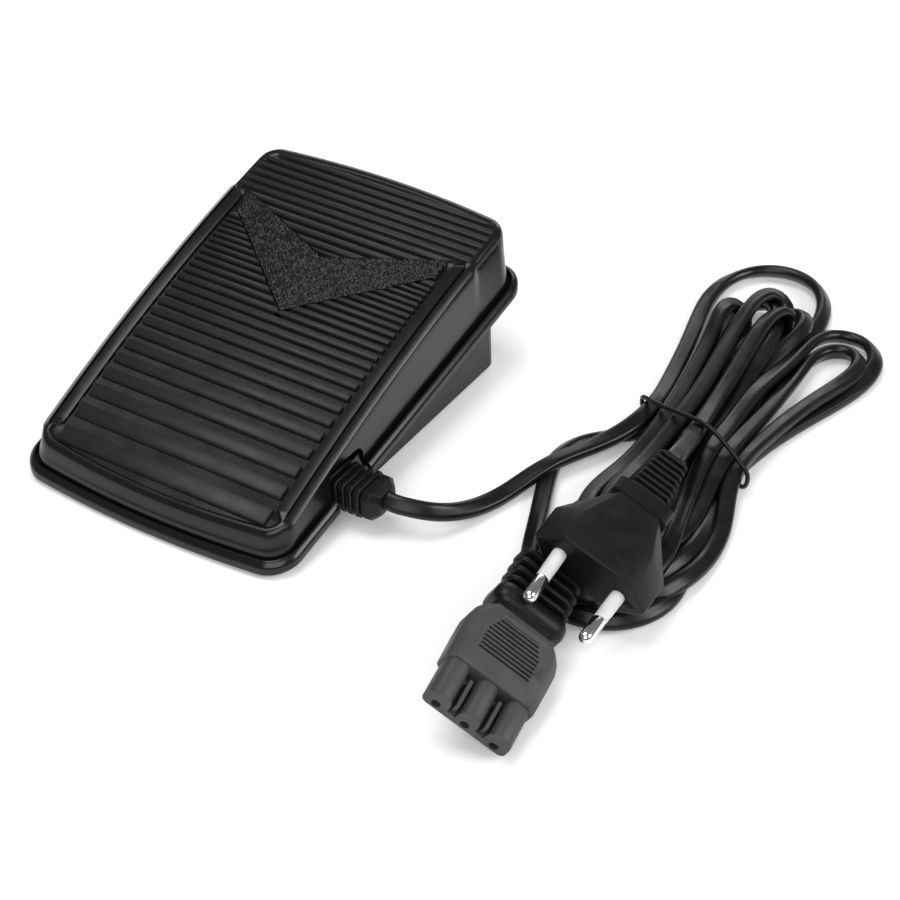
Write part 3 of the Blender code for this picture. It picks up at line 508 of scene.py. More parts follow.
def turns(slots, folds):
    """The whole winding, from its first pass under the tie to its last."""
    points = [on_hank(0.0, *slots[0])]
    for number, shape in enumerate(folds):
        way = -1 if number % 2 else 1
        points += fold(way, slots[number], slots[number + 1], *shape)
        points.append(on_hank(0.0, *slots[number + 1]))
    return points


def smooth(route, step):
    """Points about step apart on a Catmull-Rom curve through route."""
    knots = [Vector(point) for point in route]
    knots = [2 * knots[0] - knots[1]] + knots + [2 * knots[-1] - knots[-2]]
    found = []
    for a, b, c, d in zip(knots, knots[1:], knots[2:], knots[3:]):
        count = max(1, round((c - b).length / step))
        for i in range(count):
            t = i / count
            found.append(0.5 * (2 * b + (c - a) * t + (2 * a - 5 * b + 4 * c - d) * t ** 2
                                + (3 * b - a - 3 * c + d) * t ** 3))
    return found + [knots[-2]]


def evened(points, step):
    """The same line as an array with points step apart."""
    line = np.array([tuple(point) for point in points])
    along = np.concatenate([[0.0], np.cumsum(np.linalg.norm(np.diff(line, axis=0), axis=1))])
    at = np.linspace(0.0, along[-1], max(2, round(along[-1] / step) + 1))
    return np.stack([np.interp(at, along, line[:, k]) for k in range(3)], axis=1)


def relief_end(side):
    """Where a lead enters the connector's strain relief, with a few points straight out of it."""
    turn = CONNECTOR_TURN.to_matrix()
    return [CONNECTOR_NOSE + turn @ Vector((side * 2.8, -55.0 - out, 0.0)) for out in (8.0, 4.0, 0.0)]


def obstacles():
    """(origin, turn, centre, half size) of what the cords lie under, in each one's own axes."""
    plug, connector = PLUG_TURN.to_matrix(), CONNECTOR_TURN.to_matrix()
    return [
        (PLUG_FACE, plug, (0, -6, 0), (14.5, 6.5, 6.9)), (PLUG_FACE, plug, (0, -18, 0), (12, 6, 6.9)),
        (PLUG_FACE, plug, (0, -27, 0), (8.8, 4, 6.4)), (PLUG_FACE, plug, (0, -41, 0), (5.6, 11, 4.8)),
        (CONNECTOR_NOSE, connector, (0, -47, 0), (9.8, 9, 5.6)),
        (CONNECTOR_NOSE, connector, (0, -24, 0), (14, 14, 6.2)),
    ]


def settle(routes):
    """Lays the cords down: they keep their length, press apart, stay stiff, and rest on the floor and each other."""
    lines = [evened(smooth(route, 2.0), CORD_STEP) for route in routes]
    owner = np.concatenate([np.full(len(line), i) for i, line in enumerate(lines)])
    index = np.concatenate([np.arange(len(line)) for line in lines])
    last = np.array([len(line) - 1 for line in lines])[owner]
    pinned = (index < PINNED_POINTS) | (index > last - PINNED_POINTS)
    points = np.concatenate(lines)
    start = points.copy()
    ends = np.cumsum([len(line) for line in lines])[:-1]
    rest = [np.linalg.norm(np.diff(line, axis=0), axis=1).mean() for line in lines]
    low, high = np.triu_indices(len(points), 1)
    apart = (owner[low] != owner[high]) | (np.abs(index[high] - index[low]) > NEIGHBOURS)
    low, high = low[apart], high[apart]
    weigh = np.array([1.0, 1.0, HEIGHT_WEIGHT])
    axis = np.array([-math.sin(HANK_TURN), math.cos(HANK_TURN)])
    level = np.array([axis[1], -axis[0]])
    for number in range(SETTLE_ROUNDS):
        points[:, 2] -= SINK * (1 - number / SETTLE_ROUNDS)
        points += RETURN * (start - points)
        near = np.linalg.norm((points[low] - points[high]) * weigh, axis=1) < STRAND_GAP
        a, b = low[near], high[near]
        gap = (points[a] - points[b]) * weigh
        size = np.maximum(np.linalg.norm(gap, axis=1), 0.05)
        push = gap / size[:, None] * ((STRAND_GAP - size) * PRESS)[:, None]
        np.add.at(points, a, push)
        np.add.at(points, b, -push)
        for origin, turn, centre, half in obstacles():
            matrix = np.array(turn)
            local = (points - np.array(origin)) @ matrix - np.array(centre)
            half = np.array(half) + np.array([STRAND_CLEARANCE, 0.0, STRAND_CLEARANCE])
            inside = (np.abs(local) < half).all(axis=1) & ~pinned
            down = half[2] + local[:, 2]
            aside = half[0] - np.abs(local[:, 0])
            lower = inside & (down <= aside)
            beside = inside & (down > aside)
            local[lower, 2] -= 0.5 * down[lower]
            local[beside, 0] += 0.5 * np.sign(local[beside, 0]) * aside[beside]
            points = (local + np.array(centre)) @ matrix.T + np.array(origin)
        for part, length in zip(np.split(points, ends), rest):
            bend = np.zeros_like(part)
            middle = part[1:-1] - (part[:-2] + part[2:]) / 2
            bend[1:-1] -= STIFFNESS * middle
            bend[:-2] += STIFFNESS / 2 * middle
            bend[2:] += STIFFNESS / 2 * middle
            part += bend
            for _ in range(6):
                for first in (0, 1):
                    p, q = part[first:-1:2], part[first + 1::2]
                    step = q - p
                    far = np.linalg.norm(step, axis=1, keepdims=True)
                    shift = 0.5 * (far - length) / far * step
                    p += shift
                    q -= shift
        from_tie = (points[:, :2] - np.array(HANK_MIDDLE)) @ axis
        sideways = (points[:, :2] - np.array(HANK_MIDDLE)) @ level
        skewed = from_tie + TIE_SKEW * sideways
        room = TIE_REACH + 0.06 * np.maximum(np.abs(skewed) - 4.0, 0.0) ** 2
        beyond = (np.abs(sideways) - room) * np.sign(sideways)
        squeezed = (np.abs(sideways) > room) & ~pinned & (np.abs(skewed) < 16.0)
        points[squeezed, :2] -= 0.6 * beyond[squeezed, None] * level
        floor = CORD_THICKNESS / 2 + 0.1 + 1.3 * np.exp(-(skewed / 7.0) ** 2)
        points[:, 2] = np.maximum(points[:, 2], np.where(pinned, 0.0, floor))
        points[pinned] = start[pinned]
    return np.split(points, ends)


def cord_section(sides=22):
    """(across, up) points of the flat twin section, with a shallow groove between its cores."""
    points = []
    for i in range(sides):
        turn = 2 * math.pi * i / sides
        across = math.copysign(abs(math.cos(turn)) ** 0.72, math.cos(turn))
        up = math.copysign(abs(math.sin(turn)) ** 0.72, math.sin(turn))
        groove = 1.0 - 0.13 * math.exp(-(across / 0.26) ** 2)
        points.append((across * CORD_WIDTH / 2, up * groove * CORD_THICKNESS / 2))
    return points


def across_of(line):
    """The direction of the cord's width at each point: level on straight runs, turned on edge through flat bends."""
    ahead = np.gradient(line, axis=0)
    ahead /= np.linalg.norm(ahead, axis=1, keepdims=True)
    turning = np.gradient(ahead, axis=0) / np.linalg.norm(np.gradient(line, axis=0), axis=1, keepdims=True)
    level = np.cross(ahead, [0.0, 0.0, 1.0])
    steep = np.linalg.norm(level, axis=1)
    level /= np.maximum(steep, 1e-6)[:, None]
    sideways = (turning * level).sum(axis=1)
    roll = MOST_ROLL * np.tanh(blurred(sideways, 21) * ROLL_GAIN)
    raised = np.cross(level, ahead)
    wanted = level * np.cos(roll)[:, None] + raised * np.sin(roll)[:, None]
    found = [wanted[0]]
    for i in range(1, len(line)):
        carried = found[-1] - ahead[i] * (found[-1] @ ahead[i])
        goal = wanted[i] if wanted[i] @ carried >= 0 else -wanted[i]
        share = 0.16 * min(1.0, steep[i] * 1.4)
        now = carried * (1 - share) + goal * share
        now -= ahead[i] * (now @ ahead[i])
        found.append(now / np.linalg.norm(now))
    return ahead, np.array(found)


def swept(line, section, ahead, across, name):
    """A closed tube of that section along line, in millimetres."""
    up = np.cross(across, ahead)
    rings = [[tuple(point + side * x + above * y) for x, y in section] for point, side, above in zip(line, across, up)]
    return object_from(loft(rings), name, 50.0)


def cords():
    """Both cords' objects and lines."""
    last = [Vector(point) for point in END_ROUTE]
    routes = [
        list(LEAD_ROUTE) + turns(LEAD_SLOTS, LEAD_FOLDS) + last + relief_end(1),
        list(MAINS_ROUTE) + turns(MAINS_SLOTS, MAINS_FOLDS) + [point + MAINS_END_SHIFT for point in last]
        + relief_end(-1),
    ]
    made = []
    for name, line in zip(("pedal_cord", "mains_cord"), settle(routes)):
        line = evened(line, SMOOTH_STEP)
        for _ in range(3):
            line[2:-2] = (line[1:-3] + 2 * line[2:-2] + line[3:-1]) / 4
        line = evened(smooth(line, 1.0), RING_STEP)
        ahead, across = across_of(line)
        tall = np.abs(across[:, 2]) * CORD_WIDTH / 2 + np.abs(np.cross(across, ahead)[:, 2]) * CORD_THICKNESS / 2
        sunk = np.maximum(0.0, tall + 0.05 - line[:, 2])
        line[:, 2] += np.maximum(sunk, blurred(sunk, 9))
        made.append((swept(line, cord_section(), ahead, across, name), line))
    return made


# ---- treadle

def top_z(y):
    run = y + HALF_LENGTH
    return TOP_HEEL_Z + TOP_SLOPE * run - TOP_CURVE * run * run


def lip_z(y):
    return LIP_HEEL_Z + LIP_SLOPE * (y + HALF_LENGTH)


# (inset from the lip, drop from the tread) of the top edge, the same number of points for each stretch.
SIDE_EDGE = (
    (10.0, 1.3), (9.8, 1.28), (9.6, 0.35), (9.4, 0.06), (9.1, 0.0), (6.1, 0.0), (5.95, 0.1), (5.85, 0.8), (5.4, 0.8),
    (5.28, 0.16), (5.1, 0.0), (3.35, 1.2), (3.15, 1.45), (3.05, 2.2))
HEEL_EDGE = (
    (7.3, 1.3), (7.1, 1.28), (6.6, 0.9), (6.2, 0.42), (5.95, 0.14), (5.75, 0.02), (5.55, 0.0), (5.35, 0.0),
    (5.15, 0.03), (4.95, 0.09), (4.7, 0.22), (4.4, 0.5), (4.1, 1.0), (3.8, 2.0))
TOE_FLOOR = ((10.0, 0.9), (9.75, 0.9), (9.0, 0.9), (8.0, 0.9), (7.5, 0.85))
TOE_SIDE_EDGE = TOE_FLOOR + (
    (7.15, 0.5), (6.8, 0.28), (6.3, 0.2), (5.7, 0.22), (5.15, 0.34), (4.65, 0.62), (4.2, 1.1), (3.85, 1.8), (3.6, 2.7))
TOE_EDGE = TOE_FLOOR + (
    (7.15, 0.35), (6.8, 0.06), (6.3, 0.0), (5.7, 0.03), (5.15, 0.15), (4.65, 0.45), (4.2, 0.95), (3.85, 1.7),
    (3.6, 2.7))
LIP_EDGE = (                   # (inset, height above the lip's lower edge)
    (2.72, 4.9), (2.55, 3.5), (2.45, 2.5), (2.2, 2.15), (1.95, 2.25), (1.8, 2.9), (1.75, 3.55), (1.62, 3.82),
    (1.42, 3.86), (1.2, 3.76), (0.4, 2.95), (0.12, 2.55), (0.0, 2.1), (0.0, 0.45), (0.3, 0.0), (WALL, 0.0))


def edge_weights(y):
    """Shares of the side, heel, toe side and toe edge shapes at an outline point of the lip."""
    heel = eased((-y - 53.6) / 5.0)
    toe_side = eased((y - TOE_START_Y) / 2.4)
    toe = eased((y - 55.5) / 3.6)
    return (1 - heel) * (1 - toe_side), heel, toe_side * (1 - toe), toe_side * toe


def plan_point(i, inset, counts):
    """The outline point number i of the half that goes from heel to toe, moved in by inset."""
    end_steps, corner_steps, side_steps = counts
    half_width = HALF_WIDTH - inset
    heel_y, toe_y = -HALF_LENGTH + inset, HALF_LENGTH - inset * 1.15
    radius = max(CORNER_RADIUS - inset * 0.7, 1.2)
    straight = half_width - radius
    first_corner = end_steps + corner_steps
    second_corner = first_corner + side_steps
    if i < end_steps:
        x, y = straight * i / end_steps, heel_y
    elif i <= first_corner:
        turn = math.pi / 2 * (i - end_steps) / corner_steps
        x, y = straight + radius * math.sin(turn), heel_y + radius * (1 - math.cos(turn))
    elif i < second_corner:
        start, stop = heel_y + radius, toe_y - radius
        share = (i - first_corner) / side_steps
        x, y = half_width, start + (stop - start) * share
    elif i <= second_corner + corner_steps:
        turn = math.pi / 2 * (i - second_corner) / corner_steps
        x, y = straight + radius * math.cos(turn), toe_y - radius * (1 - math.sin(turn))
    else:
        x, y = straight * (1 - (i - second_corner - corner_steps) / end_steps), toe_y
    middle = (heel_y + toe_y) / 2
    return x, y + math.copysign(END_BOW * (1 - (x / half_width) ** 2), y - middle)


def cap_skin():
    counts = (16, 10, 90)
    last = 2 * counts[0] + 2 * counts[1] + counts[2]
    half = []
    for i in range(last + 1):
        weights = edge_weights(plan_point(i, 0.0, counts)[1])
        column = []
        for edge in zip(SIDE_EDGE, HEEL_EDGE, TOE_SIDE_EDGE, TOE_EDGE):
            inset = sum(weight * point[0] for weight, point in zip(weights, edge))
            drop = sum(weight * point[1] for weight, point in zip(weights, edge))
            x, y = plan_point(i, inset, counts)
            column.append((x, y, top_z(y) - drop))
        upper = column[-1]
        x, y = plan_point(i, LIP_EDGE[0][0], counts)
        lower = (x, y, lip_z(y) + LIP_EDGE[0][1])
        for share, pull in ((0.12, 0.10), (0.3, 0.22), (0.55, 0.42), (0.8, 0.72)):
            x = upper[0] + (lower[0] - upper[0]) * pull
            y = upper[1] + (lower[1] - upper[1]) * pull
            column.append((x, y, upper[2] + (lower[2] - upper[2]) * share))
        for inset, height in LIP_EDGE:
            x, y = plan_point(i, inset, counts)
            column.append((x, y, lip_z(y) + height))
        x, y = plan_point(i, WALL + 2.2, counts)
        column.append((x, y, lip_z(y) + LIP_HEIGHT + 0.4))
        x, y = plan_point(i, WALL + 4.4, counts)
        column.append((x, y, top_z(y) - TOP_THICKNESS))
        half.append(column)
    rings = []
    for row in range(len(half[0])):
        right = [column[row] for column in half]
        rings.append(right + [(-x, y, z) for x, y, z in right[-2:0:-1]])
    return loft(rings, across=True)


def bar_list():
    """(y, width) of every cross bar and rib from heel to toe."""
    bars = []
    y = FIRST_BAR_Y
    while y < LAST_RIB_Y:
        pitch = RIB_PITCH
        if y < LAST_BAR_Y:
            pitch = HEEL_PITCH * math.exp(-PITCH_FADE * (y - FIRST_BAR_Y))
        bars.append((y + pitch * BAR_SHARE / 2, pitch * BAR_SHARE))
        y += pitch
    return bars


def bar_spans(y, width):
    """(left end, right end) stretches of a bar, each end a function of y, cut where the chevron crosses it."""
    def fixed(x):
        return lambda at: x

    def outer(way):
        return lambda at: way * ((at - CHEVRON_TIP_Y) / CHEVRON_RISE + 0.35)

    def inner(way):
        return lambda at: way * ((at - CHEVRON_INNER_Y) / CHEVRON_INNER_RISE - 0.45)

    if y > TOE_START_Y:
        reach = RIB_REACH - 3.2 * eased((y - 50.0) / 9.0) ** 2
        return [(fixed(-reach), fixed(reach))]
    near, far = y - width / 2, y + width / 2
    if far <= CHEVRON_TIP_Y or near >= CHEVRON_INNER_Y + CHEVRON_INNER_RISE * CHEVRON_HALF_SPAN:
        return [(fixed(-BAR_REACH), fixed(BAR_REACH))]
    spans = []
    if outer(1)(far) < BAR_REACH - 0.5:
        spans += [(fixed(-BAR_REACH), outer(-1)), (outer(1), fixed(BAR_REACH))]
    if inner(1)(near) > 0.6:
        spans.append((inner(-1), inner(1)))
    return spans


def tread_bar(left, right, y, width):
    """One bar with eased edges, its top level with the tread."""
    half = width / 2
    rim = min(0.34, half * 0.4)
    profile = ((-half, -2.0), (-half, -0.42), (-half + rim * 0.3, -0.12), (-half + rim, 0.0), (half - rim, -0.03),
               (half - rim * 0.3, -0.16), (half, -0.5), (half, -2.0))
    rings = []
    for inset, drop in ((0.0, 0.55), (0.12, 0.18), (0.4, 0.0)):
        rings.append([(left(y + dy) + inset, dy, dz, drop) for dy, dz in profile])
    for inset, drop in ((0.4, 0.0), (0.12, 0.18), (0.0, 0.55)):
        rings.append([(max(right(y + dy), left(y + dy) + 0.9) - inset, dy, dz, drop) for dy, dz in profile])
    return loft([[(x, y + dy, top_z(y + dy) + dz - (drop if dz > -1.0 else 0.0)) for x, dy, dz, drop in ring]
                 for ring in rings])


def chevron():
    """The pebbled chevron, a fine grid with worm-like grain over a plain underside."""
    columns, rows = 380, 116
    bm = bmesh.new()
    grid = []
    for i in range(columns + 1):
        x = CHEVRON_HALF_SPAN * (2 * i / columns - 1)
        low = CHEVRON_TIP_Y + CHEVRON_RISE * abs(x)
        high = CHEVRON_INNER_Y + CHEVRON_INNER_RISE * abs(x)
        column = []
        for j in range(rows + 1):
            y = low + (high - low) * j / rows
            sway = noise.noise(Vector((x * 0.5, y * 0.5, 1.0)))
            grain = noise.noise(Vector((x * 0.95 + sway, y * 0.95 - sway, 3.0)))
            height = 0.12 - 0.5 * max(0.0, 1.0 - abs(grain) * 4.5)
            if min(j, rows - j, i, columns - i) == 0:
                height = -0.5
            column.append(bm.verts.new(Vector((x, y, top_z(y) + height)) * MM))
        grid.append(column)
    for left, right in zip(grid, grid[1:]):
        for j in range(rows):
            bm.faces.new((left[j], right[j], right[j + 1], left[j + 1]))
    rim = [edge for edge in bm.edges if edge.is_boundary]
    walls = bmesh.ops.extrude_edge_only(bm, edges=rim)["geom"]
    foot = [item for item in walls if isinstance(item, bmesh.types.BMVert)]
    bmesh.ops.translate(bm, vec=(0, 0, -1.3 * MM), verts=foot)
    bmesh.ops.holes_fill(bm, edges=[edge for edge in bm.edges if edge.is_boundary])
    return object_from(bm, "tread_chevron", 70.0)


def treadle(mats):
    cap = object_from(cap_skin(), "treadle_shell", 35.0)
    sections = [(x, NOTCH_HALF_WIDTH, NOTCH_HALF_HEIGHT, NOTCH_CORNER) for x in (0.0, 16.0)]
    notch = placed(loft(along_y(sections, rounded)),
                   Vector((HALF_WIDTH - 12.0, GLAND_Y, NOTCH_TOP_Z - NOTCH_HALF_HEIGHT)), Euler((0, 0, -math.pi / 2)))
    cut(cap, [notch])
    finished(cap, "treadle", "treadle_plastic", mats["treadle"], "treadle_cap")
    bars = merged([tread_bar(x0, x1, y, width) for y, width in bar_list() for x0, x1 in bar_spans(y, width)])
    finished(object_from(bars, "tread_bars", 40.0), "treadle", "treadle_plastic", mats["bars"], "treadle_cap")
    finished(chevron(), "treadle", "treadle_plastic", mats["pebble"], "treadle_cap")


# ---- mouldings

def clipped(half_x, half_z, across, down):
    """A section whose corners are cut off by across and down."""
    return [
        (half_x, half_z - down), (half_x - across, half_z), (-half_x + across, half_z),
        (-half_x, half_z - down), (-half_x, -half_z + down), (-half_x + across, -half_z),
        (half_x - across, -half_z), (half_x, -half_z + down)]


def chamfered(half_x, half_z, chamfer):
    return clipped(half_x, half_z, chamfer, chamfer)


def rounded(half_x, half_z, radius, corner_steps=5):
    """A section with round corners."""
    points = []
    for quarter, (sx, sz) in enumerate(((1, 1), (-1, 1), (-1, -1), (1, -1))):
        for i in range(corner_steps + 1):
            turn = math.pi / 2 * (quarter + i / corner_steps)
            points.append((sx * (half_x - radius) + radius * math.cos(turn),
                           sz * (half_z - radius) + radius * math.sin(turn)))
    return points


def along_y(sections, shape=chamfered):
    return [[(x, y, z) for x, z in shape(half_x, half_z, corner)] for y, half_x, half_z, corner in sections]


def ribbed(start, end, first, last, ribs, depth=1.0, corner=0.4, rib_share=0.62):
    """Sections of a tapering ribbed strain relief along Y, each rib with round shoulders."""
    sections = []
    pitch = (end - start) / ribs
    gap = (1 - rib_share) / 2
    shape = ((0.0, 1.0), (gap * 0.8, 1.0), (gap, 0.75), (gap + 0.06, 0.25), (gap + 0.16, 0.0), (0.5, -0.06),
             (1 - gap - 0.16, 0.0), (1 - gap - 0.06, 0.25), (1 - gap, 0.75), (1 - gap * 0.8, 1.0))
    for i in range(ribs):
        for offset, drop in shape:
            share = (i + offset) / ribs
            half_x = first[0] + (last[0] - first[0]) * share - drop * depth
            half_z = first[1] + (last[1] - first[1]) * share - drop * depth
            sections.append((start + (i + offset) * pitch, half_x, half_z, min(half_x, half_z) * corner))
    return sections


def gland(mats):
    length = GLAND_END_X - GLAND_ROOT_X
    sections = [(0.0, 6.0, 4.8, 1.5), (1.6, 6.0, 4.8, 1.5), (1.61, 4.6, 3.9, 1.6)]
    sections += ribbed(1.7, length - 4.9, (6.1, 5.2), (6.3, 4.9), 6, 1.0, 0.27, 0.66)
    sections += [(length - 4.8, 5.4, 4.0, 1.7), (length - 4.6, 6.3, 4.8, 1.8), (length - 2.3, 6.3, 4.8, 1.8),
                 (length - 0.2, 4.3, 3.3, 1.3), (length, 4.0, 3.0, 1.2)]
    turn = Euler((0, 0, -math.pi / 2))
    made = object_from(placed(loft(along_y(sections)), Vector((GLAND_ROOT_X, GLAND_Y, GLAND_Z - 0.5)), turn),
                       "cord_gland_skin")
    bevelled(made, 0.28, 2, 30.0)
    finished(made, "base", "moulded_vinyl", mats["relief"], "cord_gland")


def on_plug(bm):
    return placed(bm, PLUG_FACE, PLUG_TURN)


def plug(mats):
    """The flat two-pin plug, its pins along +Y from its face at y = 0."""
    sections = [(0.0, 16.9, 6.2, 6.6, 5.7), (-0.5, 17.5, 6.75, 6.9, 6.25), (-12.0, 17.5, 6.8, 6.9, 6.3),
                (-23.6, 7.6, 6.75, 1.2, 1.2), (-25.0, 7.4, 6.7, 1.2, 1.2)]
    rings = [[(x, y, z) for x, z in clipped(*shape)] for y, *shape in sections]
    body = object_from(on_plug(loft(rings)), "plug_body_skin")
    bevelled(body, 0.35, 3, 9.0)
    dish = on_plug(ball(27.4, (0.3, -15.2, 33.5)))
    sockets = [on_plug(rod(PIN_RADIUS + 0.15, (side * PIN_SPACING / 2, -5, 0), (side * PIN_SPACING / 2, 5, 0)))
               for side in (-1, 1)]
    cut(body, [dish] + sockets)
    finished(body, "base", "moulded_vinyl", mats["vinyl"], "mains_plug_body")
    neck = [(-24.2, 8.3, 6.0, 1.6), (-24.6, 8.9, 6.9, 2.0), (-29.6, 8.9, 6.9, 2.0), (-30.2, 8.3, 6.3, 2.0),
            (-30.4, 5.2, 4.2, 2.0)]
    sections = [(-30.4 - y, *rest) for y, *rest in ribbed(0.1, 19.2, (6.3, 5.4), (4.5, 3.7), 8, 1.15, 0.45, 0.56)]
    sections += [(-50.2, 3.6, 2.8, 1.2)]
    relief = object_from(on_plug(loft(along_y(neck + sections, rounded))), "plug_relief_skin", 40.0)
    finished(relief, "base", "moulded_vinyl", mats["relief"], "mains_plug_body")
    pieces = [body, relief]
    for name, side in (("left", 1), ("right", -1)):
        sleeve = [(-4.0, 1.3), (-4.0, 2.0), (0.3, 2.02), (6.5, 1.98), (7.2, 1.93), (9.9, 1.9), (10.0, 1.8),
                  (10.0, 1.3)]
        pieces.append(finished(object_from(lathe(sleeve, side), f"pin_sleeve_skin_{name}"), "base", "sleeve_plastic",
                               mats["sleeve"], f"pin_sleeve_{name}"))
        tip = [(10.05, 1.5), (10.1, 1.88), (10.3, 1.97), (16.9, 1.97)]
        tip += [(16.9 + 2.1 * math.sin(turn), 1.97 * math.cos(turn)) for turn in (0.3, 0.6, 0.9, 1.15, 1.35)]
        metal_tip = lathe([(-3.9, 1.25), (10.0, 1.25)] + tip, side)
        pieces.append(finished(object_from(metal_tip, f"plug_pin_skin_{name}", 25.0), "base", "nickel_plate",
                               mats["nickel"], f"plug_pin_{name}"))
    return pieces


def lathe(profile, side, sides=32):
    """A part of one pin, turned about the pin's own line from (y, radius) points."""
    rings = []
    for y, radius in profile:
        turns_round = [2 * math.pi * i / sides for i in range(sides)]
        middle = side * (PIN_SPACING / 2 - math.tan(PIN_LEAN) * y)
        rings.append([(middle + radius * math.cos(turn), y, radius * math.sin(turn)) for turn in turns_round])
    return on_plug(loft(rings))


def nose_outline():
    """The nose's section: a straight bottom and three tall round-topped lobes, one for each hole."""
    top, bottom, valley = 5.2, -2.1, 0.2
    points = []
    for centre in (HOLE_PITCH, 0.0, -HOLE_PITCH):
        for i in range(15):
            turn = math.pi * i / 14
            sideways, up = math.cos(turn), math.sin(turn)
            half = 3.8 if centre * sideways > 0 else 3.1
            x = centre + half * math.copysign(abs(sideways) ** 0.7, sideways)
            points.append((x, valley + (top - valley) * up ** 0.7))
    reach = HOLE_PITCH + 3.8
    points += [(-reach, bottom + 1.2), (-reach + 0.4, bottom + 0.4), (-reach + 1.2, bottom)]
    return points + [(reach - 1.2, bottom), (reach - 0.4, bottom + 0.4), (reach, bottom + 1.2)]


def connector(mats):
    """The machine end: a three-hole nose, a grip body and the ribbed relief that both leads share."""
    def at(bm):
        return placed(bm, CONNECTOR_NOSE, CONNECTOR_TURN)

    shell = loft(along_y([
        (-11.6, 13.0, 5.1, 2.0), (-12.1, 13.5, 5.4, 2.4), (-20.0, 13.7, 5.5, 2.6), (-26.5, 13.7, 5.5, 2.6),
        (-29.5, 12.9, 5.5, 2.6), (-31.8, 11.5, 5.4, 2.5), (-33.0, 10.4, 5.3, 2.4)]))
    bmesh.ops.translate(shell, vec=(0, 0, 0.5 * MM), verts=shell.verts)
    body = object_from(at(shell), "connector_body_skin")
    bevelled(body, 0.4, 3, 9.0)
    grooves = []
    for i in range(10):
        half = 7.8 if i < 6 else 7.8 - 0.62 * (i - 5)
        grooves.append(at(box((2 * half, 0.74, 1.6), (0.2, -18.2 - 1.3 * i, 6.1))))
    cut(body, grooves)
    finished(body, "base", "connector_plastic", mats["connector"], "connector_body")
    outline = nose_outline()
    block = loft([[(x * spread, y, z * spread) for x, z in outline]
                  for y, spread in ((-13.0, 1.0), (-0.35, 1.0), (-0.1, 0.985), (0.0, 0.96))])
    nose = object_from(at(block), "connector_nose_skin", 50.0)
    holes = [at(rod(1.3, (i * HOLE_PITCH, -9.0, 0), (i * HOLE_PITCH, 3.0, 0), 24)) for i in (-1, 0, 1)]
    cut(nose, holes)
    finished(nose, "base", "connector_plastic", mats["connector"], "connector_body")
    fins = [at(box((1.1, 9.0, 4.4), (side * HOLE_PITCH, -5.3, 1.4))) for side in (-0.5, 0.5)]
    fin = object_from(merged(fins), "connector_fin_skin")
    bevelled(fin, 0.2, 2, 40.0)
    finished(fin, "base", "connector_plastic", mats["connector"], "connector_body")
    collar = [(-32.6, 9.6, 5.2, 2.4), (-35.1, 9.4, 5.2, 2.6), (-35.4, 9.9, 5.6, 3.2), (-36.2, 10.6, 6.2, 3.7),
              (-37.6, 11.0, 6.6, 4.0), (-39.6, 10.9, 6.5, 4.0), (-40.9, 10.2, 5.8, 3.4), (-41.5, 8.2, 4.0, 2.2)]
    sections = [(-41.7 - y, *rest) for y, *rest in ribbed(0.0, 14.4, (9.9, 5.8), (9.5, 4.8), 4, 2.2, 0.62, 0.66)]
    sections += [(-56.3, 7.2, 2.6, 1.6)]
    relief = object_from(at(loft(along_y(collar + sections, rounded))), "connector_relief_skin", 40.0)
    finished(relief, "base", "moulded_vinyl", mats["relief"], "connector_strain_relief")
    return [body, nose, fin, relief]


def tie(mats, lines):
    """A thin coated wire round the hank, close over the strands that it holds."""
    along = Vector((math.cos(TIE_TURN), math.sin(TIE_TURN)))
    ahead = Vector((-math.sin(TIE_TURN), math.cos(TIE_TURN)))
    found = []
    for line in lines:
        for x, y, z in line:
            away = Vector((x, y)) - Vector(HANK_MIDDLE)
            if abs(away.dot(ahead)) < 3.0:
                found.append((away.dot(along), z))
    reach = 2.9
    points = []
    left, right = min(t for t, z in found) - reach, max(t for t, z in found) + reach
    steps = 44
    for i in range(steps):
        angle = 2 * math.pi * i / steps
        share = (1 - math.cos(angle)) / 2
        t = right + (left - right) * share
        if angle <= math.pi:
            height = 0.6
            for near, z in found:
                bulge = (z + 2.4) * math.sqrt(max(0.0, 1 - ((t - near) / 13.0) ** 2))
                height = max(height, bulge)
            height = max(height, 3.0 * math.sin(angle) + 0.6)
        else:
            height = 0.62
        points.append((t, height))
    heights = [z for t, z in points]
    for _ in range(3):
        heights = [max(z, (heights[i - 1] + heights[(i + 1) % steps]) / 2) for i, z in enumerate(heights)]
        heights = [(heights[i - 1] + 2 * z + heights[(i + 1) % steps]) / 4 for i, z in enumerate(heights)]
    ring = []
    for (t, _), z in zip(points, heights):
        flat = Vector(HANK_MIDDLE) + along * t + ahead * 0.9 * math.sin(t * 0.12)
        ring.append(Vector((flat.x, flat.y, max(z, 0.62))))
    line = evened(smooth(ring + ring[:2], 1.0), 0.8)
    finished(wire(line, TIE_RADIUS, "tie_wire"), "base", "tie_coating", mats["tie"], "twist_tie")


def wire(line, radius, name, sides=12):
    """A round wire along an array of points."""
    section = [(radius * math.cos(2 * math.pi * i / sides), radius * math.sin(2 * math.pi * i / sides))
               for i in range(sides)]
    ahead = np.gradient(line, axis=0)
    ahead /= np.linalg.norm(ahead, axis=1, keepdims=True)
    across = [np.cross(ahead[0], [0.0, 0.0, 1.0]) + 1e-9]
    across[0] /= np.linalg.norm(across[0])
    for i in range(1, len(line)):
        carried = across[-1] - ahead[i] * (across[-1] @ ahead[i])
        across.append(carried / np.linalg.norm(carried))
    return swept(line, section, ahead, np.array(across), name)


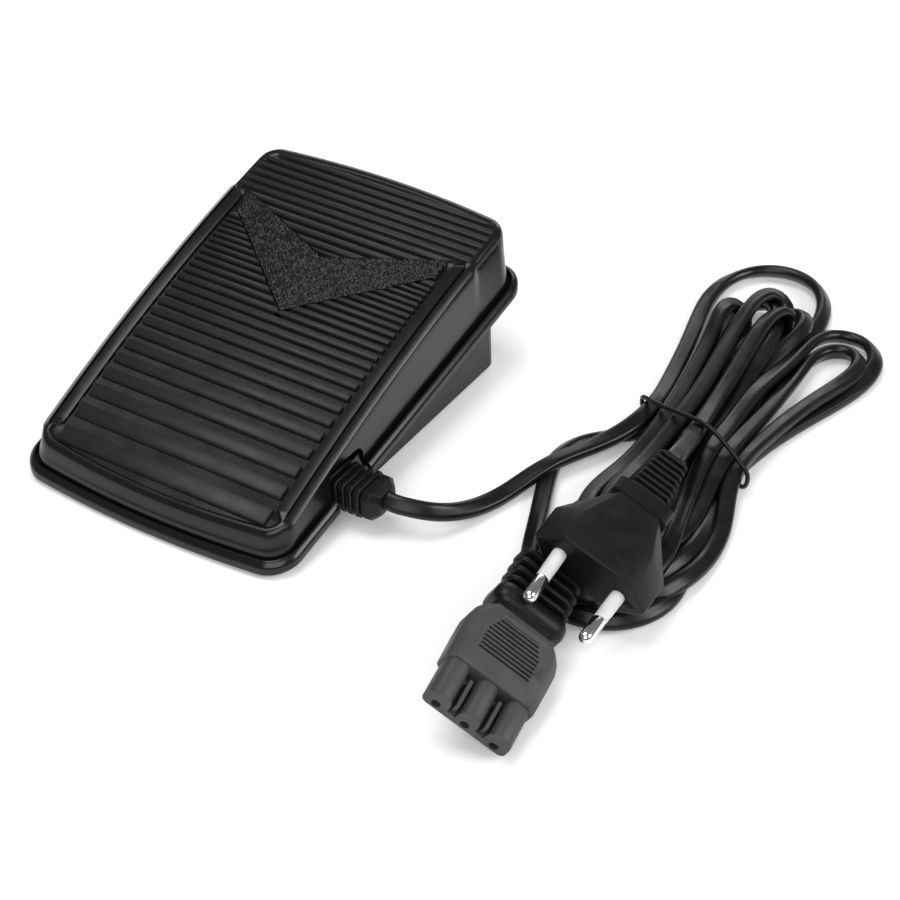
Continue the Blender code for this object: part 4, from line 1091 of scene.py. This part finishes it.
def springs(mats):
    """The return springs, whose end turns lie close and flat."""
    turn_steps, end_steps = 24, 16
    steps = SPRING_TURNS * turn_steps
    for name, side in (("left", -1), ("right", 1)):
        points = []
        for i in range(steps + 1):
            angle = 2 * math.pi * i / turn_steps
            share = min(max((i - end_steps) / (steps - 2 * end_steps), 0.0), 1.0)
            height = SPRING_BOTTOM_Z + i * 0.005 + share * (SPRING_TOP_Z - SPRING_BOTTOM_Z - 1.4)
            points.append((side * SPRING_X + SPRING_RADIUS * math.cos(angle),
                           SPRING_Y + SPRING_RADIUS * math.sin(angle), height))
        made = wire(np.array(points), 0.6, f"spring_coil_{name}")
        finished(made, "base", "plated_steel", mats["steel"], f"return_spring_{name}")
        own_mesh(made)


# ---- studio

def studio():
    bm = bmesh.new()
    bmesh.ops.create_grid(bm, x_segments=2, y_segments=2, size=3.0)
    floor = object_from(bm, "floor")
    floor.data.transform(Matrix.Translation((0, 0, -0.00005)))
    pale = Finish("floor_paper", (0.93, 0.93, 0.93), 0.85, Emission_Color=(1.0, 1.0, 1.0, 1.0),
                  Emission_Strength=0.15)
    pale.vary_colour(60.0, 0.004)
    pale.relief(1.5, 0.02, 0.2)
    floor.data.materials.append(pale.made)
    bpy.context.scene.view_settings.view_transform = "Standard"
    world = bpy.context.scene.world or bpy.data.worlds.new("world")
    bpy.context.scene.world = world
    world.use_nodes = True
    world.node_tree.nodes["Background"].inputs["Color"].default_value = (1.0, 1.0, 1.0, 1.0)
    world.node_tree.nodes["Background"].inputs["Strength"].default_value = 0.2
    for name, size, power, place, target in (
        ("front_box", (1.3, 0.9), 12.0, (0.55, -1.15, 1.1), (0.05, 0.0, 0.0)),
        ("top_box", (0.68, 0.60), 5.6, (-0.18, -0.08, 1.0), (-0.18, -0.08, 0.0)),
        ("right_box", (0.6, 0.55), 7.2, (1.05, 0.25, 0.68), (0.05, 0.0, 0.02)),
        ("back_box", (1.2, 0.5), 5.0, (-0.4, 1.4, 0.7), (0.05, 0.0, 0.02)),
    ):
        data = bpy.data.lights.new(name, "AREA")
        data.shape = "RECTANGLE"
        data.size, data.size_y = size
        data.energy = power
        made = bpy.data.objects.new(name, data)
        made.location = place
        made.rotation_euler = (Vector(place) - Vector(target)).to_track_quat("Z", "Y").to_euler()
        bpy.context.scene.collection.objects.link(made)


def main():
    camera()
    mats = make_materials()
    dress_frame(mats)
    (lead, lead_line), (mains, mains_line) = cords()
    finished(lead, "base", "cord_jacket", mats["cord"], "pedal_lead", "cord_hank")
    finished(mains, "base", "cord_jacket", mats["cord"], "mains_lead", "cord_hank")
    treadle(mats)
    gland(mats)
    plug_pieces = plug(mats)
    connector_pieces = connector(mats)
    tie(mats, (lead_line, mains_line))
    springs(mats)
    studio()


main()
